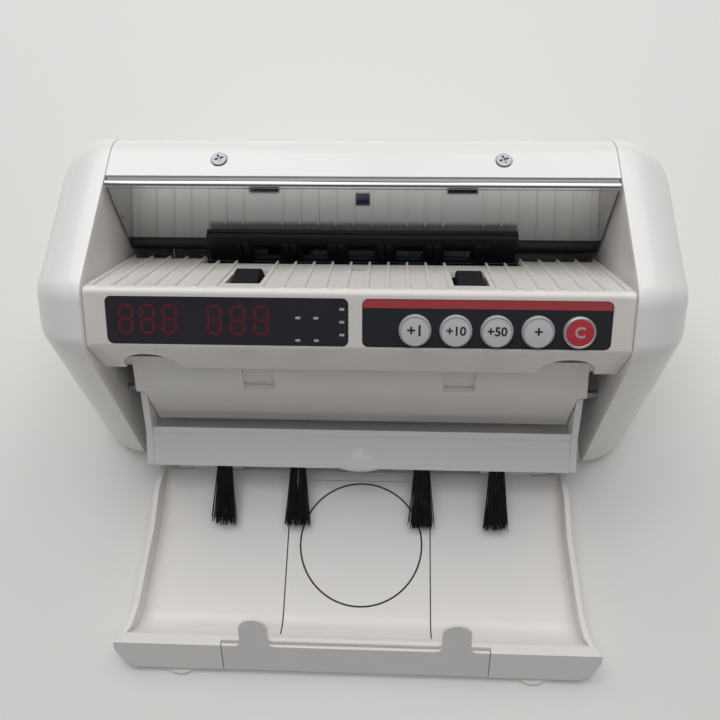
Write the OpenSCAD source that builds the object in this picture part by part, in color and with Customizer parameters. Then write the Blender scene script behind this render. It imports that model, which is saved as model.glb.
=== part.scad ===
// Banknote counting machine: a sloped feed hopper over a compact note transport,
// with a fold-up receiving tray, a fold-in brush shelf and a pull-out carry handle.
// Frame: X to the right, +Z up, front towards -Y, origin at the bottom centre.

/* [Body] */
// Overall width across both side covers
body_w = 236; // [226:1:250]
// How far each side cover stands out from the centre body
cover_w = 23.7; // [22:0.1:27]
// Distance from the origin to the rearmost and to the foremost point
half_depth = 97; // [95:1:110]
// Height of the crest at the front of the hopper
crest_z = 100.8; // [98:0.2:108]
// Underside of the side covers
cover_z = 2; // [1:0.5:3]
// Wall of the side covers
cover_wall = 2.4; // [1.6:0.2:3]
// Wall of the top, rear and front covers
shell_t = 2.2; // [1.6:0.1:2.6]
// Thickness of the inner side frames
frame_t = 2; // [1.6:0.1:2.4]
// Gap between two fixed pieces
fit_gap = 0.2; // [0.1:0.05:0.3]
// Gap between pieces that move past each other
run_gap = 0.3; // [0.25:0.05:0.5]

/* [Side cover rounding] */
// How far the front rolls back at the outer wall
roll_front = 32; // [20:1:40]
// How far the top rolls down at the outer wall
roll_top = 23; // [12:1:30]
// How far the rear rolls in at the outer wall
roll_rear = 12; // [6:1:20]
// How far the bottom rolls up at the outer wall
roll_bottom = 6; // [2:1:12]

/* [Control panel] */
// Height of the crease between the panel and the lip under it
crease_z = 86.6; // [84:0.2:89]
// Y of the front lip
lip_y = 7.8; // [7:0.2:9]
// Height of the lip under the panel
lip_h = 19; // [17:0.5:21]
// Slope of the panel from the horizontal
panel_slope = 37.8; // [34:0.2:41]
// Length of the panel along its slope
panel_len = 20.9; // [19.5:0.1:23]
// Height of the two windows along the slope
window_h = 17; // [14:0.5:18]
// Corner radius of the windows
window_r = 2; // [1:0.1:4]
// Margin under the windows
window_margin = 1; // [0.8:0.1:2]
// Margin from the display window to the end of the panel
display_edge = 7.8; // [6:0.2:12]
// Margin from the keypad overlay to the end of the panel
keypad_edge = 7.4; // [6:0.2:12]
// Half of the bridge between the two windows
window_bridge = 2.5; // [2:0.1:4]
// Thickness of the display window
window_t = 0.9; // [0.6:0.1:1.1]
// Thickness of the keypad overlay
overlay_t = 0.9; // [0.6:0.1:1.1]
// Radius of the crease between panel and lip
crease_r = 2.4; // [2.3:0.1:3.5]
// Radius of the edge between panel and ramp
ridge_r = 2.3; // [2.3:0.1:3.5]
// Diameter of a key
key_d = 10.8; // [10:0.1:12.4]
// Distance between keys
key_pitch = 13.85; // [13.4:0.05:14.6]
// Distance from the last key's centre to the end of the keypad overlay
key_end = 10.9; // [9:0.1:13]
// Height of the keys' centres above the crease, along the slope
key_v = 7.4; // [7:0.1:8.5]
// How far a key stands out of the overlay
key_out = 1.7; // [1.2:0.1:2.5]
// Travel of a key
key_travel = 0.8; // [0.4:0.1:1]
// Depth of the display board below the panel
board_depth = 6.6; // [6.2:0.1:7]

/* [Hopper] */
// Slope of the ramp from the horizontal
ramp_slope = 48.8; // [46:0.2:52]
// Length of the ramp in the middle
ramp_len = 42.6; // [38:0.2:44]
// Length of the ramp at its two sides
ramp_side_len = 51; // [46:0.5:53]
// Half width of the middle of the ramp
ramp_mid_x = 62; // [58:0.5:66]
// Distance between ribs
rib_pitch = 7.2; // [6.4:0.1:7.4]
// Height of a rib
rib_h = 0.9; // [0.5:0.1:1.4]
// Width of a rib at its front end
rib_w = 1.7; // [1:0.1:2.4]
// X of the roller slots and of the pickup rollers
slot_x = 40; // [38.5:0.2:41.5]
// Width of a roller slot
slot_w = 12.4; // [11:0.2:13]
// Start of a roller slot below the crest, along the ramp
slot_from = 8; // [6:0.2:10]
// End of a roller slot
slot_to = 30.8; // [29:0.2:33]
// Side of the square sensor window in the ramp
sensor_w = 5; // [4:0.2:6]
// Lean of the rear guide plate from the vertical
mirror_lean = 9.8; // [6:0.2:12]
// Height of the rear guide plate
mirror_h = 29.2; // [26:0.2:30]
// Thickness of the rear guide plate
mirror_t = 0.8; // [0.5:0.1:1.2]
// Radius of the rolled bar at the plate's top
bar_r = 1.5; // [1:0.1:1.8]
// Y of the top cover's front edge
top_front_y = 72.3; // [71.5:0.1:74]
// Half width of the separator plate above the nip
separator_x = 61; // [56:0.5:61.5]
// Top of the separator plate
separator_z = 71.2; // [70:0.1:75]

/* [Drive] */
// Radius of every drive shaft
shaft_r = 3; // [2.5:0.1:3.5]
// Radial running clearance of a shaft in its bearing
shaft_gap = 0.05; // [0.02:0.01:0.1]
// Outer radius of a shaft bearing
bearing_r = 6; // [5:0.2:7]
// Pickup shaft: Y and Z
pickup_at = [30.74, 78.19];
// Radius of the pickup rollers
pickup_r = 11.6; // [10:0.1:12]
// Width of a pickup roller
pickup_w = 9; // [7:0.2:9.6]
// Feed shaft: Y and Z
feed_at = [42, 48];
// Radius of the feed rollers
feed_r = 15; // [13:0.1:15.4]
// Width of a feed roller
feed_w = 10; // [8:0.5:12]
// Stacker shaft: Y and Z
stacker_at = [26, 24];
// Radius of a stacker wheel over its fingers
stacker_r = 16.5; // [14:0.1:17]
// Height of the motor
motor_z = 30; // [28:0.5:40]
// Radius of the motor
motor_r = 13.5; // [11:0.5:15]
// Length of the motor
motor_len = 34; // [26:1:40]
// Pitch radius of the motor pulley
motor_pulley_r = 6; // [5:0.5:8]
// Pitch radius of the feed shaft's driven pulley
feed_pulley_r = 15; // [12:0.5:16]
// Pitch radius of the pulleys for the pickup shaft
pickup_pulley_r = 9; // [7:0.5:10]
// Pitch radius of the pulleys for the stacker shaft
stacker_pulley_r = 10; // [7:0.5:10.5]
// Thickness of a belt
belt_t = 1.4; // [1:0.1:1.8]
// Width of a belt
belt_w = 4; // [3:0.5:5]

/* [Outlet] */
// Gap from the outlet guide cover to each side frame
guide_gap = 5.9; // [4.5:0.1:8]
// How far the guide cover narrows on each side at its top
guide_taper = 3; // [0:0.2:5]
// Thickness of the outlet guide cover
guide_t = 1.8; // [1.4:0.1:2.2]
// Shelf pivot: Y and Z
shelf_at = [10.5, 39];
// Gap from a shelf arm to the side frame
arm_gap = 6.5; // [5:0.1:8]
// Thickness of a shelf arm
arm_t = 2.6; // [2:0.1:2.8]
// Radius of the shelf pivots and tray hinge pins
pin_r = 1.5; // [1:0.1:1.8]
// Thickness of the shelf's face
shelf_t = 2; // [1.6:0.1:2.4]
// X of the two inner brushes
brush_in_x = 25.7; // [22:0.5:30]
// X of the two outer brushes
brush_out_x = 56.5; // [50:0.5:62]
// Length of the bristles
bristle_len = 27; // [20:0.5:28]

/* [Tray] */
// Tray hinge: Y and Z
hinge_at = [-11.2, 4.2];
// How much narrower the tray's rear is than the centre body, on each side
tray_in = 7.7; // [6:0.1:12]
// How far each wall of the tray bows out to the lip
tray_flare = 8; // [4:0.2:12]
// Thickness of the tray's floor
tray_t = 2; // [1.8:0.1:2.2]
// Underside of the tray's floor
tray_z = 1.2; // [1:0.1:1.6]
// Height of the side walls' top
tray_wall_z = 12; // [10:0.5:13]
// Height of the lip's top
tray_lip_z = 13.5; // [12.5:0.1:15]
// Half width of the centre plate in the floor
tray_plate_x = 30; // [26:0.5:34]
// Thickness of the centre plate
tray_plate_t = 1.2; // [0.8:0.1:1.3]
// Half width of the carry handle
handle_x = 52; // [48:0.5:58]
// Thickness of the carry handle
handle_t = 1.4; // [1.2:0.1:1.6]
// X of the handle's two legs
leg_x = 39; // [35:0.5:43]
// Width of a leg
leg_w = 11.2; // [9:0.2:13]
// How far the legs stand above the lip, along their slope
leg_out = 14.6; // [10:0.2:15]
// Radius of a tray foot
foot_r = 8; // [6:0.5:9]

/* [Rear] */
// X of the power switch
switch_x = -35; // [-60:1:60]
// X of the DC inlet
inlet_x = -62; // [-75:1:-58]
// Height of the switch and of the inlet
rear_port_z = 24; // [18:0.5:40]
// Radius of the DC inlet's barrel
inlet_r = 4; // [3:0.1:5]
// Half the angle through which the rocker tips
rocker_tilt = 7; // [4:0.5:8]

/* [Hidden] */

side = body_w / 2;
seam_x = side - cover_w;
panel_x = seam_x - fit_gap;
frame_in_x = seam_x;
inner_x = frame_in_x - fit_gap;
rear_y = half_depth;
cover_inset = 0.4;
arm_x = frame_in_x - arm_gap;
guide_x = inner_x - guide_gap;
guide_low_x = arm_x - arm_t - 2 * run_gap;
tray_x = seam_x - tray_in;
tray_lip_x = tray_x + tray_flare;
far = 200;
past = 1;
split_z = 60;
rear_wrap = 12;
toe_y = -9;
crest_y = 22.6;
rear_drop = 5.6;

// Outline of the body in (Y, Z, corner radius), before the side covers roll over
outline_corners = [[toe_y, cover_z, 6], [6.2, crest_z - 12.1, 9], [crest_y, crest_z, 12],
    [rear_y, crest_z - rear_drop, 15], [rear_y, cover_z, 8]];
roll_centre = [44, 48];

// ---- plane geometry ----
function unit(v) = v / norm(v);
function wrap(a) = a > 180 ? a - 360 : a < -180 ? a + 360 : a;
// Arc that rounds the corner c between its neighbours a and b
function corner_arc(a, c, b, steps) =
    let (p = [c[0], c[1]], u = unit([a[0], a[1]] - p), v = unit([b[0], b[1]] - p),
        half = acos(u * v) / 2, run = c[2] / tan(half), mid = p + unit(u + v) * c[2] / sin(half),
        s = p + u * run - mid, e = p + v * run - mid, a0 = atan2(s[1], s[0]),
        sweep = wrap(atan2(e[1], e[0]) - a0))
    [for (k = [0 : steps]) mid + c[2] * [cos(a0 + sweep * k / steps), sin(a0 + sweep * k / steps)]];
// Polygon with every corner rounded; corners are [x, y, radius]
function rounded(corners, steps = 6) =
    let (m = len(corners))
    [for (i = [0 : m - 1]) each corner_arc(corners[(i + m - 1) % m], corners[i],
        corners[(i + 1) % m], steps)];
function left_normal(a, b) = let (d = unit(b - a)) [-d[1], d[0]];
// Point i of an open path moved by t to the path's left, with mitred corners
function shifted(path, i, t) =
    let (m = len(path), n0 = i == 0 ? left_normal(path[0], path[1]) : left_normal(path[i - 1], path[i]),
        n1 = i == m - 1 ? n0 : left_normal(path[i], path[i + 1]), s = n0 + n1)
    path[i] + s * (2 * t / (s * s));
function reversed(list) = [for (i = [len(list) - 1 : -1 : 0]) list[i]];
function shift_path(path, t) = [for (i = [0 : len(path) - 1]) shifted(path, i, t)];
// Closed outline of a wall of thickness t on the left of an open path
function strip(path, t) = concat(path, reversed(shift_path(path, t)));
// Corner i of a clockwise outline moved inwards by g
function inset_corner(c, i, g) =
    let (m = len(c), p = [c[i][0], c[i][1]], a = c[(i + m - 1) % m], b = c[(i + 1) % m],
        n0 = -left_normal([a[0], a[1]], p), n1 = -left_normal(p, [b[0], b[1]]), s = n0 + n1,
        q = p + s * (2 * g / (s * s)))
    [q[0], q[1], max(c[i][2] - g, 0.4)];
function inset_outline(g, steps = 6) =
    rounded([for (i = [0 : len(outline_corners) - 1]) inset_corner(outline_corners, i, g)], steps);
// Outline of an open or crossed belt's outer or inner face round two pulleys
function belt_points(a, ra, b, rb, steps = 16) =
    let (d = b - a, turn = atan2(d[1], d[0]), tip = acos((ra - rb) / norm(d)))
    concat(
        [for (k = [0 : steps]) let (t = turn + tip + (360 - 2 * tip) * k / steps) a + ra * [cos(t), sin(t)]],
        [for (k = [0 : steps]) let (t = turn - tip + 2 * tip * k / steps) b + rb * [cos(t), sin(t)]]);

// ---- solids along X ----
module along_x(x0, x1) {
    translate([x0, 0, 0]) rotate([90, 0, 90]) linear_extrude(x1 - x0) children();
}
module x_prism(x0, x1, points) { along_x(x0, x1) polygon(points); }
module x_rod(x0, x1, at, r, fn = 40) {
    translate([x0, at[0], at[1]]) rotate([0, 90, 0]) cylinder(h = x1 - x0, r = r, $fn = fn);
}
module x_tube(x0, x1, at, r_out, r_in, fn = 40) {
    difference() {
        x_rod(x0, x1, at, r_out, fn);
        x_rod(x0 - past, x1 + past, at, r_in, fn);
    }
}
module box(low, high) { translate(low) cube(high - low); }
module both_sides() {
    children();
    mirror([1, 0, 0]) children();
}

// Plate with round corners, its lower left corner at the origin
module round_plate(w, h, r, t) {
    linear_extrude(t) polygon(rounded([[0, 0, r], [w, 0, r], [w, h, r], [0, h, r]], 5));
}

// ---- panel and ramp planes ----
panel_top = [lip_y + panel_len * cos(panel_slope), crease_z + panel_len * sin(panel_slope)];
lip_low = [lip_y, crease_z - lip_h];
crease = [lip_y, crease_z];
ramp_dir = [cos(ramp_slope), -sin(ramp_slope)];
ramp_end = panel_top + ramp_dir * ramp_len;
ramp_side_end = panel_top + ramp_dir * ramp_side_len;
// Local z is the outward normal, local y runs up the panel
module on_panel(x, v, lift = 0) {
    translate([x, crease[0], crease[1]]) rotate([panel_slope, 0, 0]) translate([0, v, lift]) children();
}
// Local z is the outward normal, local y runs down the ramp towards the rear
module on_ramp(x, s, lift = 0) {
    translate([x, panel_top[0], panel_top[1]]) rotate([-ramp_slope, 0, 0]) translate([0, s, lift]) children();
}
window_deep = 1;
hole_gap = 0.35;
sensor_s = slot_to - fit_gap + sensor_w / 2;
sensor_h = 3;
rib_from = 2.4;
rib_sink = 0.3;
rib_tip = 1.5;
rib_first_out = slot_x + 8.5;
ribs_inside = floor((slot_x - slot_w / 2) / rib_pitch + 0.5);
ribs_outside = 1 + floor((inner_x - rib_first_out - rib_w) / rib_pitch);
function rib_xs() = concat([for (i = [0 : ribs_inside - 1]) rib_pitch * (i + 0.5)],
    [for (i = [0 : ribs_outside - 1]) rib_first_out + rib_pitch * i]);

// ---- side covers ----
roll_steps = 8;
function roll(v, w, lo, hi, mid, lo_roll, hi_roll) =
    v < mid ? mid + (v - mid) * (1 - w * lo_roll / (mid - lo))
        : mid + (v - mid) * (1 - w * hi_roll / (hi - mid));
function rolled(p, w) = [roll(p[0], w, toe_y, rear_y, roll_centre[0], roll_front, roll_rear),
    roll(p[1], w, cover_z, crest_z, roll_centre[1], roll_bottom, roll_top)];
// Rings of an outline that rolls over from x_in to x_out
function roll_rings(g, x_in, x_out) =
    let (ring = inset_outline(g, 5))
    [for (k = [0 : roll_steps])
        let (a = 90 * k / roll_steps, w = 1 - cos(a), x = x_in + (x_out - x_in) * sin(a))
        [for (p = ring) let (q = rolled(p, w)) [x, q[0], q[1]]]];
module loft(rings) {
    n = len(rings[0]);
    m = len(rings);
    polyhedron(points = [for (ring = rings) each ring],
        faces = concat([[for (i = [n - 1 : -1 : 0]) i]],
            [for (k = [0 : m - 2], i = [0 : n - 1]) let (j = (i + 1) % n) each
                [[k * n + i, k * n + j, (k + 1) * n + j], [k * n + i, (k + 1) * n + j, (k + 1) * n + i]]],
            [[for (i = [0 : n - 1]) (m - 1) * n + i]]));
}
module side_cover() {
    inner = roll_rings(cover_wall, seam_x, side - cover_wall);
    mouth = [for (p = inset_outline(cover_wall, 5)) [seam_x - past, p[0], p[1]]];
    difference() {
        loft(roll_rings(0, seam_x, side));
        loft(concat([mouth], inner));
    }
}
module right_side_cover() { color("#f2f0ec") side_cover(); }
module left_side_cover() { color("#f2f0ec") mirror([1, 0, 0]) side_cover(); }

// ---- side frames ----
wall_gap = 0.4;
wall_hole_at = [60.4, 75.2];
wall_hole_r = 0.9;
shaft_spots = [pickup_at, feed_at, stacker_at];
// Hole through the frame for a bearing, pin or screw
module frame_hole(at, r) { x_rod(frame_in_x - past, frame_in_x + frame_t + past, at, r); }
// Inner wall of the hopper and of the transport, inside the mouth of the side cover
module side_frame() {
    difference() {
        x_prism(frame_in_x, frame_in_x + frame_t, inset_outline(cover_wall + wall_gap));
        for (at = shaft_spots) frame_hole(at, bearing_r);
        frame_hole(shelf_at, pin_r);
    }
}
module right_side_frame() {
    color("#e9e7e3") difference() {
        side_frame();
        frame_hole(motor_at, bearing_r);
        for (z = [-motor_screw_at, motor_screw_at])
            frame_hole(motor_at + [0, z], motor_screw_r + fit_gap);
    }
}
module left_side_frame() {
    color("#e9e7e3") mirror([1, 0, 0]) difference() {
        side_frame();
        frame_hole(wall_hole_at, wall_hole_r);
    }
}

// ---- front cover: panel, lip and ribbed ramp in one moulding ----
arch_x = panel_x - 18.7;
arch_w = 10.4;
arch_h = 12.6;
arch_steps = 14;
bend_steps = 5;
bend_spare = 0.4;
flange_r = shell_t + bend_spare;
ramp_flange = 5.4;
// Arc that rounds the bend of a path at c, between a and b
function bend(a, c, b, r) = corner_arc(a, [c[0], c[1], r], b, bend_steps);
lip_path = concat(bend(panel_top, crease, lip_low, crease_r), [lip_low]);
// The ramp ends in a flange that turns down behind the feed rollers
flange_low = ramp_end - [0, ramp_flange];
cover_path = concat([flange_low], bend(flange_low, ramp_end, panel_top, flange_r),
    bend(ramp_end, panel_top, crease, ridge_r), lip_path);
// Ramp extension beside the separator
ramp_path = [ramp_side_end, ramp_end - ramp_dir];
module front_cover() {
    color("#f0eeea") difference() {
        union() {
            x_prism(-panel_x, panel_x, strip(cover_path, shell_t));
            both_sides() {
                x_prism(ramp_mid_x, inner_x, strip(ramp_path, shell_t));
                for (x = rib_xs()) rib(x);
            }
        }
        both_sides() {
            on_ramp(slot_x - slot_w / 2, slot_from, -shell_t - past)
                cube([slot_w, slot_to - slot_from, 2 * shell_t + past]);
            lip_arch();
        }
        on_ramp(-sensor_w / 2 - hole_gap, sensor_s - sensor_w / 2, -shell_t - past)
            cube([sensor_w + 2 * hole_gap, sensor_w, 2 * shell_t + past]);
        on_panel(-window_bridge - display_w - fit_gap, window_margin, -window_deep)
            round_plate(display_w + 2 * fit_gap, window_h, window_r + fit_gap, shell_t + past);
        on_panel(window_bridge - fit_gap, window_margin, -window_deep)
            round_plate(keypad_w + 2 * fit_gap, window_h, window_r + fit_gap, shell_t + past);
        for (x = digit_xs) on_panel(x - digit_w / 2, digit_v - digit_h / 2, -shell_t - past)
            cube([digit_w, digit_h, shell_t + past]);
        for (p = lamp_spots) on_panel(p[0], p[1], -shell_t - past)
            cylinder(h = shell_t + past, r = lamp_r + fit_gap, $fn = 24);
        for (i = [0 : key_count - 1]) key_hole(i);
    }
}
module rib(x) {
    last = x > ramp_mid_x ? ramp_side_len : ramp_len;
    on_ramp(x, 0, -rib_sink) linear_extrude(rib_h + rib_sink)
        polygon([[-rib_w / 2, rib_from + rib_w / 4], [-rib_w / 4, rib_from], [rib_w / 4, rib_from],
            [rib_w / 2, rib_from + rib_w / 4], [rib_w / 4, last], [0, last + rib_tip], [-rib_w / 4, last]]);
}
module lip_arch() {
    translate([arch_x, lip_y + shell_t + past, lip_low[1]]) rotate([90, 0, 0])
        linear_extrude(shell_t + 2 * past)
        polygon(concat([[-arch_w, -past]],
            [for (k = [0 : arch_steps]) let (a = 180 - 180 * k / arch_steps)
                [arch_w * cos(a), arch_h * pow(sin(a), 0.8)]], [[arch_w, -past]]));
}

// ---- display and keys ----
display_w = panel_x - window_bridge - display_edge;
keypad_w = panel_x - window_bridge - keypad_edge;
digit_v = 9.8;
digit_w = 22.4;
digit_h = 13.4;
lamp_spots = [[-19.8, 11], [-13.5, 11], [-19.8, 3.6], [-13.5, 3.6], [-4.9, 14], [-4.9, 9.6], [-4.9, 5.2]];
lamp_r = 1.3;
// Free width of the display beside its lamps, shared out before, between and after the two groups
digit_from = -window_bridge - display_w;
digit_slack = lamp_spots[0][0] - lamp_r - digit_from - 2 * digit_w;
digit_share = [0.16, 0.61];
digit_xs = [for (k = [0, 1]) digit_from + digit_slack * digit_share[k] + digit_w * (k + 0.5)];
board_t = 1.6;
board_gap = 6.1;
board_v = [1.4, 16.2];
module key_hole(i) {
    on_panel(key_at(i), key_v, -shell_t - past)
        cylinder(h = 2 * shell_t + past, r = key_d / 2 + hole_gap, $fn = 48);
}
module display_window() {
    color("#17161a") on_panel(-window_bridge - display_w, window_margin + fit_gap, -window_deep)
        round_plate(display_w, window_h - 2 * fit_gap, window_r, window_t);
}
module keypad_overlay() {
    color("#1c1b1e") difference() {
        on_panel(window_bridge, window_margin + fit_gap, -window_deep)
            round_plate(keypad_w, window_h - 2 * fit_gap, window_r, overlay_t);
        for (i = [0 : key_count - 1]) key_hole(i);
    }
}
module display_board() {
    half = inner_x - board_gap;
    color("#2f6b3f") on_panel(-half, board_v[0], -board_depth - board_t)
        cube([2 * half, board_v[1] - board_v[0], board_t]);
}
module digit_modules() {
    top_room = 0.4;
    color("#3a2023") for (x = digit_xs)
        on_panel(x - digit_w / 2 + fit_gap, digit_v - digit_h / 2 + fit_gap, -board_depth)
        cube([digit_w - 2 * fit_gap, digit_h - 2 * fit_gap - top_room, board_depth - window_deep - fit_gap]);
}
module indicator_lamps() {
    color("#a33b3b") for (p = lamp_spots) on_panel(p[0], p[1], -board_depth)
        cylinder(h = board_depth - window_deep - fit_gap, r = lamp_r, $fn = 24);
}
key_count = 5;
function key_at(i) = window_bridge + keypad_w - key_end - key_pitch * (key_count - 1 - i);
switch_h = 1.6;
switch_side = 6;
module key_switches() {
    color("#26262a") for (i = [0 : key_count - 1])
        on_panel(key_at(i) - switch_side / 2, key_v - switch_side / 2, -board_depth)
            cube([switch_side, switch_side, switch_h]);
}
key_flange = 0.8;
key_rim = 0.8;
key_stem_r = 2;
flange_cut = 0.1;
module key(i, tone) {
    low = shell_t + run_gap;
    stem = board_depth - switch_h - key_travel - run_gap;
    color(tone) on_panel(key_at(i), key_v) {
        translate([0, 0, -low - fit_gap]) cylinder(h = low + fit_gap + key_out, r = key_d / 2, $fn = 48);
        // flange that keeps the key in, cut back from the lip's wall
        difference() {
            translate([0, 0, -low - key_flange]) cylinder(h = key_flange, r = key_d / 2 + key_rim, $fn = 48);
            translate([-key_d, -3 * key_d / 2 - flange_cut, -far / 2]) cube([2 * key_d, key_d, far]);
        }
        translate([0, 0, -stem]) cylinder(h = stem - shell_t, r = key_stem_r, $fn = 24);
    }
}
module key_plus_one() { key(0, "#d8d8da"); }
module key_plus_ten() { key(1, "#d8d8da"); }
module key_plus_fifty() { key(2, "#d8d8da"); }
module key_function() { key(3, "#d8d8da"); }
module key_clear() { key(4, "#c8323c"); }

// ---- hopper rear ----
mirror_top = [68.3, 97];
mirror_dir = [sin(mirror_lean), cos(mirror_lean)];
mirror_low = mirror_top - mirror_h * mirror_dir;
flange_z = 82;
flange_out = 3.6;
flange_root = mirror_top[0] - (mirror_top[1] - flange_z) * tan(mirror_lean) + mirror_t / 2;
mirror_x = inner_x - 0.9;
sensor_foot = 8;
module hopper_sensor() {
    color("#1d1d20") on_ramp(0, sensor_s, -shell_t - sensor_h) {
        translate([-sensor_w / 2, -sensor_w / 2 + hole_gap, 0])
            cube([sensor_w, sensor_w - 2 * hole_gap, sensor_h + shell_t / 2]);
        translate([-sensor_foot / 2, -sensor_foot / 2, 0])
            cube([sensor_foot, sensor_foot, sensor_h - run_gap]);
    }
}
module rear_guide_plate() {
    color("#cfd2d4") {
        x_rod(-mirror_x, mirror_x, mirror_top, bar_r, 32);
        x_prism(-mirror_x, mirror_x, strip([mirror_low, mirror_top], -mirror_t));
        difference() {
            box([-mirror_x, flange_root, flange_z],
                [mirror_x, screw_y + flange_out, flange_z + mirror_t]);
            for (x = [-screw_x, screw_x]) translate([x, screw_y, flange_z - past])
                cylinder(h = mirror_t + 2 * past, r = screw_core_r + fit_gap / 2, $fn = 24);
        }
    }
}
// The separator leans just in front of the guide plate and stands on a cross bar over the nip
plate_t = 1.8;
bar_y = 59;
bar_top_gap = 4;
bar_z = [48, ramp_side_end[1] - bar_top_gap];
slit_pitch = 19;
slit_w = 10.4;
slit_z = [58.6, 66.6];
post_w = 2.4;
post_out = 1;
foot_lap = 1.75;
foot_run = (mirror_low[1] - bar_z[1] + foot_lap) / mirror_dir[1];
top_band = 4;
module separator_plate() {
    foot = mirror_low - mirror_dir * foot_run - [fit_gap, 0];
    top = mirror_low + mirror_dir * (separator_z - mirror_low[1]) / mirror_dir[1] - [fit_gap, 0];
    color("#1b1b1e") difference() {
        union() {
            x_prism(-separator_x, separator_x, strip([foot, top], plate_t));
            box([-inner_x, bar_y, bar_z[0]], [inner_x, bar_y + plate_t, bar_z[1]]);
            for (i = [-3 : 2], k = [-1, 1])
                let (x = slit_pitch * (i + 0.5) + k * (slit_pitch - slit_w - post_w) / 4)
                x_prism(x - post_w / 2, x + post_w / 2,
                    strip([foot, top - mirror_dir * top_band], plate_t + post_out));
        }
        for (i = [-2 : 2]) box([slit_pitch * i - slit_w / 2, bar_y - 2 * plate_t, slit_z[0]],
            [slit_pitch * i + slit_w / 2, mirror_top[0], slit_z[1]]);
    }
}
pad_w = 10;
pad_z = [50, 57];
pad_t = 1.15;
module retard_pads() {
    color("#3b2f2a") for (x = [-roller_in_x, roller_in_x])
        box([x - pad_w / 2, bar_y - seat_gap - pad_t, pad_z[0]], [x + pad_w / 2, bar_y - seat_gap, pad_z[1]]);
}
tube_at = [66.8, 62];
tube_r = 4.4;
tube_wall = 1.4;
module rear_guide_tube() {
    color("#202023") x_tube(-mirror_x, mirror_x, tube_at, tube_r, tube_r - tube_wall, 32);
}

// ---- top and rear covers ----
screw_x = 52.6;
screw_y = top_front_y + 7.7;
screw_r = 2.8;
screw_core_r = 1.5;
screw_post_r = 4;
head_t = 1.5;
cross_w = 0.7;
cross_l = 3.4;
cross_turn = 20;
front_web = 1.4;
// Height of the top surface at the cover's front edge
top_edge_z = crest_z - cover_inset - (top_front_y - crest_y) * rear_drop / (rear_y - crest_y);
module shell_of(x) {
    difference() {
        x_prism(-x, x, inset_outline(cover_inset));
        x_prism(-x - past, x + past, inset_outline(cover_inset + shell_t));
        children();
    }
}
module top_cover() {
    post_top = top_edge_z - head_t - screw_core_r / 2;
    color("#f2f0ec") difference() {
        union() {
            shell_of(panel_x) {
                box([-far, -far, -far], [far, top_front_y, far]);
                box([-far, -far, -far], [far, far, split_z]);
            }
            box([-inner_x, top_front_y, top_edge_z - 2 * shell_t],
                [inner_x, top_front_y + front_web, top_edge_z - past]);
            for (x = [-screw_x, screw_x]) translate([x, screw_y, flange_z + mirror_t])
                cylinder(h = post_top - flange_z - mirror_t, r = screw_post_r, $fn = 32);
        }
        for (x = [-screw_x, screw_x]) translate([x, screw_y, 0]) {
            translate([0, 0, flange_z - past]) cylinder(h = far, r = screw_core_r + fit_gap, $fn = 24);
            translate([0, 0, top_edge_z - head_t]) cylinder(h = far, r = screw_r + 2 * fit_gap, $fn = 32);
        }
    }
}
vent_count = 9;
vent_pitch = 6;
vent_w = 2.4;
vent_x = 20;
vent_z = [30, 48];
switch_w = 19;
switch_tall = 13;
bezel_w = 1.2;
bezel_t = 1.4;
// Box through the rear wall, around the switch and wider by g
module switch_box(g, y0, y1) {
    box([switch_x - switch_w / 2 - g, y0, rear_port_z - switch_tall / 2 - g],
        [switch_x + switch_w / 2 + g, y1, rear_port_z + switch_tall / 2 + g]);
}
module rear_rod(x, y0, y1, r) {
    translate([x, y0, rear_port_z]) rotate([-90, 0, 0]) cylinder(h = y1 - y0, r = r, $fn = 32);
}
module rear_cover() {
    inside_y = rear_y - cover_inset - shell_t;
    color("#f2f0ec") difference() {
        union() {
            shell_of(panel_x) {
                box([-far, -far, -far], [far, rear_y - rear_wrap, far]);
                box([-far, -far, split_z - fit_gap], [far, far, far]);
            }
            // thicker wall round the sunk switch
            switch_box(bezel_w + shell_t, inside_y - bezel_t, inside_y + past);
        }
        rear_rod(inlet_x, inside_y - past, rear_y + past, inlet_r + fit_gap);
        switch_box(fit_gap, inside_y - 2 * bezel_t, rear_y + past);
        switch_box(bezel_w + fit_gap, rear_y - cover_inset - bezel_t - seat_gap, rear_y + past);
        for (i = [0 : vent_count - 1]) let (x = vent_x + vent_pitch * i)
            box([x, inside_y - past, vent_z[0]], [x + vent_w, rear_y + past, vent_z[1]]);
    }
}
module cover_screws() {
    low = flange_z - 2 * screw_core_r;
    seat = top_edge_z - head_t + fit_gap;
    color("#b9bcc0") for (x = [-screw_x, screw_x]) translate([x, screw_y, 0]) difference() {
        union() {
            translate([0, 0, low]) cylinder(h = seat - low + head_t / 2, r = screw_core_r, $fn = 24);
            translate([0, 0, seat]) cylinder(h = head_t, r = screw_r, $fn = 32);
        }
        for (a = [0, 90]) rotate([0, 0, a + cross_turn])
            translate([-cross_l / 2, -cross_w / 2, seat + head_t / 2]) cube([cross_l, cross_w, head_t]);
    }
}

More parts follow.
